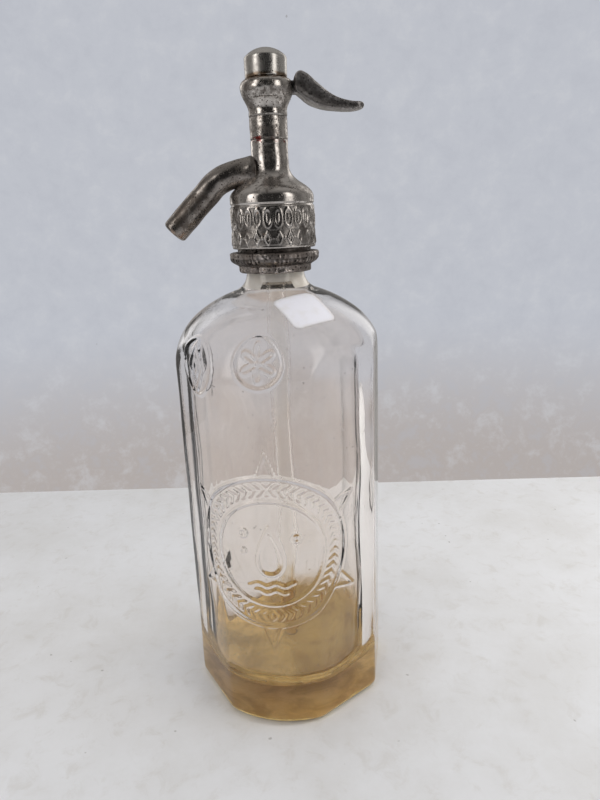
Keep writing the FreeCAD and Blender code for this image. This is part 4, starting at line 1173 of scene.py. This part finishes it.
# A window is a soft light that the metal mirrors: its direction, half width, strength, foot and head.
room = dict(
    floor=srgb(217, 217, 218), floorShade=srgb(208, 207, 206), floorPatch=srgb(199, 196, 192),
    speck=srgb(110, 102, 94), wallLow=srgb(177, 170, 167), wallHigh=srgb(190, 193, 201),
    wallPatch=srgb(203, 205, 210), wallShade=srgb(180, 183, 192), floorBack=234.0, floorSide=1500.0,
    floorFront=1500.0, floorGap=0.12, backTurn=-0.06, diffuse=0.52, mirrorDark=0.025, mirrorLight=0.33,
    windows=((-143, 15, 2.7, 0.0, 0.66), (-42, 14, 2.3, -0.05, 0.64), (52, 17, 1.2, 0.0, 0.6),
             (131, 15, 1.4, 0.0, 0.6)))


def makeFloor():
    # A flat sheet just under the foot, whose back edge is turned a little.
    x = np.linspace(-room["floorSide"], room["floorSide"], 41)
    y = np.linspace(-room["floorFront"], room["floorBack"], 31)[:, None] + x * room["backTurn"]
    sheet = np.stack(np.broadcast_arrays(x, y, -room["floorGap"]), axis=-1)
    mesh = gridMesh("table_top", sheet, ends="sheet")
    if mesh.polygons[0].normal[2] < 0:
        mesh.flip_normals()
    material, shader, place = startMaterial("table_paint")
    cloud = ramp(noise(place, 11.0, 6.0, 0.72), 0.35, 0.7)
    colour = mixed(cloud, room["floor"], room["floorShade"])
    patch = ramp(noise(place, 85.0, 5.0, 0.7, 0.6), 0.5, 0.72, 0.0, 0.55)
    colour = mixed(patch, colour, room["floorPatch"])
    speck = useGroup(pits, place, pitScale=150.0, pitCover=0.05, pitSize=0.13)["mask"]
    colour = mixed(times(speck, 0.45), colour, room["speck"])
    feed(shader, Base_Color=colour, Roughness=0.6, Normal=bump(noise(place, 800.0, 3.0, 0.6), 0.03))
    mesh.materials.append(material)
    floor = addObject("table_top", mesh)


def makeRoomLight():
    # Plain soft light for everything, a pale wall behind for the eye and the glass, and a darker
    # room in front for the metal to mirror.
    world = bpy.data.worlds.new("studio_room")
    world.use_nodes = True
    bpy.context.scene.world = world
    tree = world.node_tree
    way = put(tree, "TexCoord")["Generated"]
    x, y, z = parts(way)
    wall = mixed(ramp(z, -0.38, -0.14), room["wallLow"], room["wallHigh"])
    mottle = noise(way, 28.0, 6.0, 0.7, 0.2)
    wall = mixed(ramp(mottle, 0.48, 0.70, 0.0, 0.4), wall, room["wallPatch"])
    wall = mixed(ramp(mottle, 0.34, 0.50, 0.3, 0.0), wall, room["wallShade"])
    speck = useGroup(pits, way, pitScale=32.0, pitCover=0.05, pitSize=0.07)["mask"]
    wall = mixed(times(speck, 0.4), wall, room["speck"])
    light = ramp(y, -0.75, 0.25, room["mirrorDark"], room["mirrorLight"])
    light = plus(light, ramp(z, 0.55, 0.98, 0.0, 0.10))
    azimuth = calc("ARCTAN2", y, x)
    for at, wide, peak, low, high in room["windows"]:
        off = calc("ABSOLUTE", minus(azimuth, math.radians(at)))
        glow = ramp(off, math.radians(wide * 0.35), math.radians(wide), peak, 0.0)
        glow = times(glow, ramp(z, low - 0.12, low + 0.06))
        glow = times(glow, ramp(z, high - 0.1, high + 0.15, 1.0, 0.0))
        light = plus(light, glow)
    mirror = put(tree, "CombineColor", {0: light, 1: times(light, 0.965), 2: times(light, 0.93)})[0]
    path = put(tree, "LightPath")
    plain = (room["diffuse"], room["diffuse"], room["diffuse"] * 1.02)
    colour = mixed(path["Is Glossy Ray"], plain, mirror)
    seen = calc("MAXIMUM", path["Is Camera Ray"], path["Is Transmission Ray"])
    feed(tree.nodes["Background"], Color=mixed(seen, colour, wall))


def aim(thing, place, way, lean=0.0):
    # Turns a lamp or a camera so that its -Z looks along way, and then rolls it by lean.
    back = -np.asarray(way, float)
    back /= np.linalg.norm(back)
    right = np.cross((0, 0, 1), back)
    right /= np.linalg.norm(right)
    up = np.cross(back, right)
    c, s = math.cos(lean), math.sin(lean)
    matrix = np.eye(4)
    matrix[:3, :3] = np.stack([c * right + s * up, -s * right + c * up, back], axis=1)
    matrix[:3, 3] = place
    thing.matrix_world = Matrix(matrix.tolist())


lampPlan = {
    "left_window": dict(
        at=(-620, -420, 420), to=(0, 0, 190), size=(260, 700), watts=1.9, tint=(0.97, 0.98, 1.0)),
    "right_window": dict(
        at=(600, -20, 420), to=(0, 0, 150), size=(220, 560), watts=2.4, tint=(1.0, 0.99, 0.97)),
    "overhead": dict(at=(40, 170, 850), to=(0, 90, 0), size=(700, 500), watts=1.8, tint=(1.0, 1.0, 1.0)),
}


def makeLamps():
    for name, plan in lampPlan.items():
        data = bpy.data.lights.new(name, "AREA")
        data.shape = "RECTANGLE"
        data.size, data.size_y = metres(*plan["size"])
        data.energy = plan["watts"]
        data.color = plan["tint"]
        lamp = addObject(name, data)
        lamp.visible_glossy = False
        lamp.visible_transmission = False
        here, there = (np.array(plan[k], float) * toMetres for k in ("at", "to"))
        aim(lamp, here, there - here)


view = dict(place=(0, -294.2, 235.9), pitch=16.30, yaw=1.78, lean=-2.24, lens=27.76)


def makeCamera():
    data = bpy.data.cameras.new("photo_view")
    data.lens, data.sensor_width, data.sensor_fit = view["lens"], 36.0, "AUTO"
    data.clip_start, data.clip_end = 0.01, 20.0
    camera = addObject("photo_view", data)
    pitch, yaw, lean = (math.radians(view[key]) for key in ("pitch", "yaw", "lean"))
    way = (math.sin(yaw) * math.cos(pitch), math.cos(yaw) * math.cos(pitch), -math.sin(pitch))
    aim(camera, np.array(view["place"], float) * toMetres, way, lean)
    bpy.context.scene.camera = camera


makeFloor()
makeRoomLight()
makeLamps()
makeCamera()
bpy.context.scene.view_settings.view_transform = "Standard"
print("room, lamps and camera made")
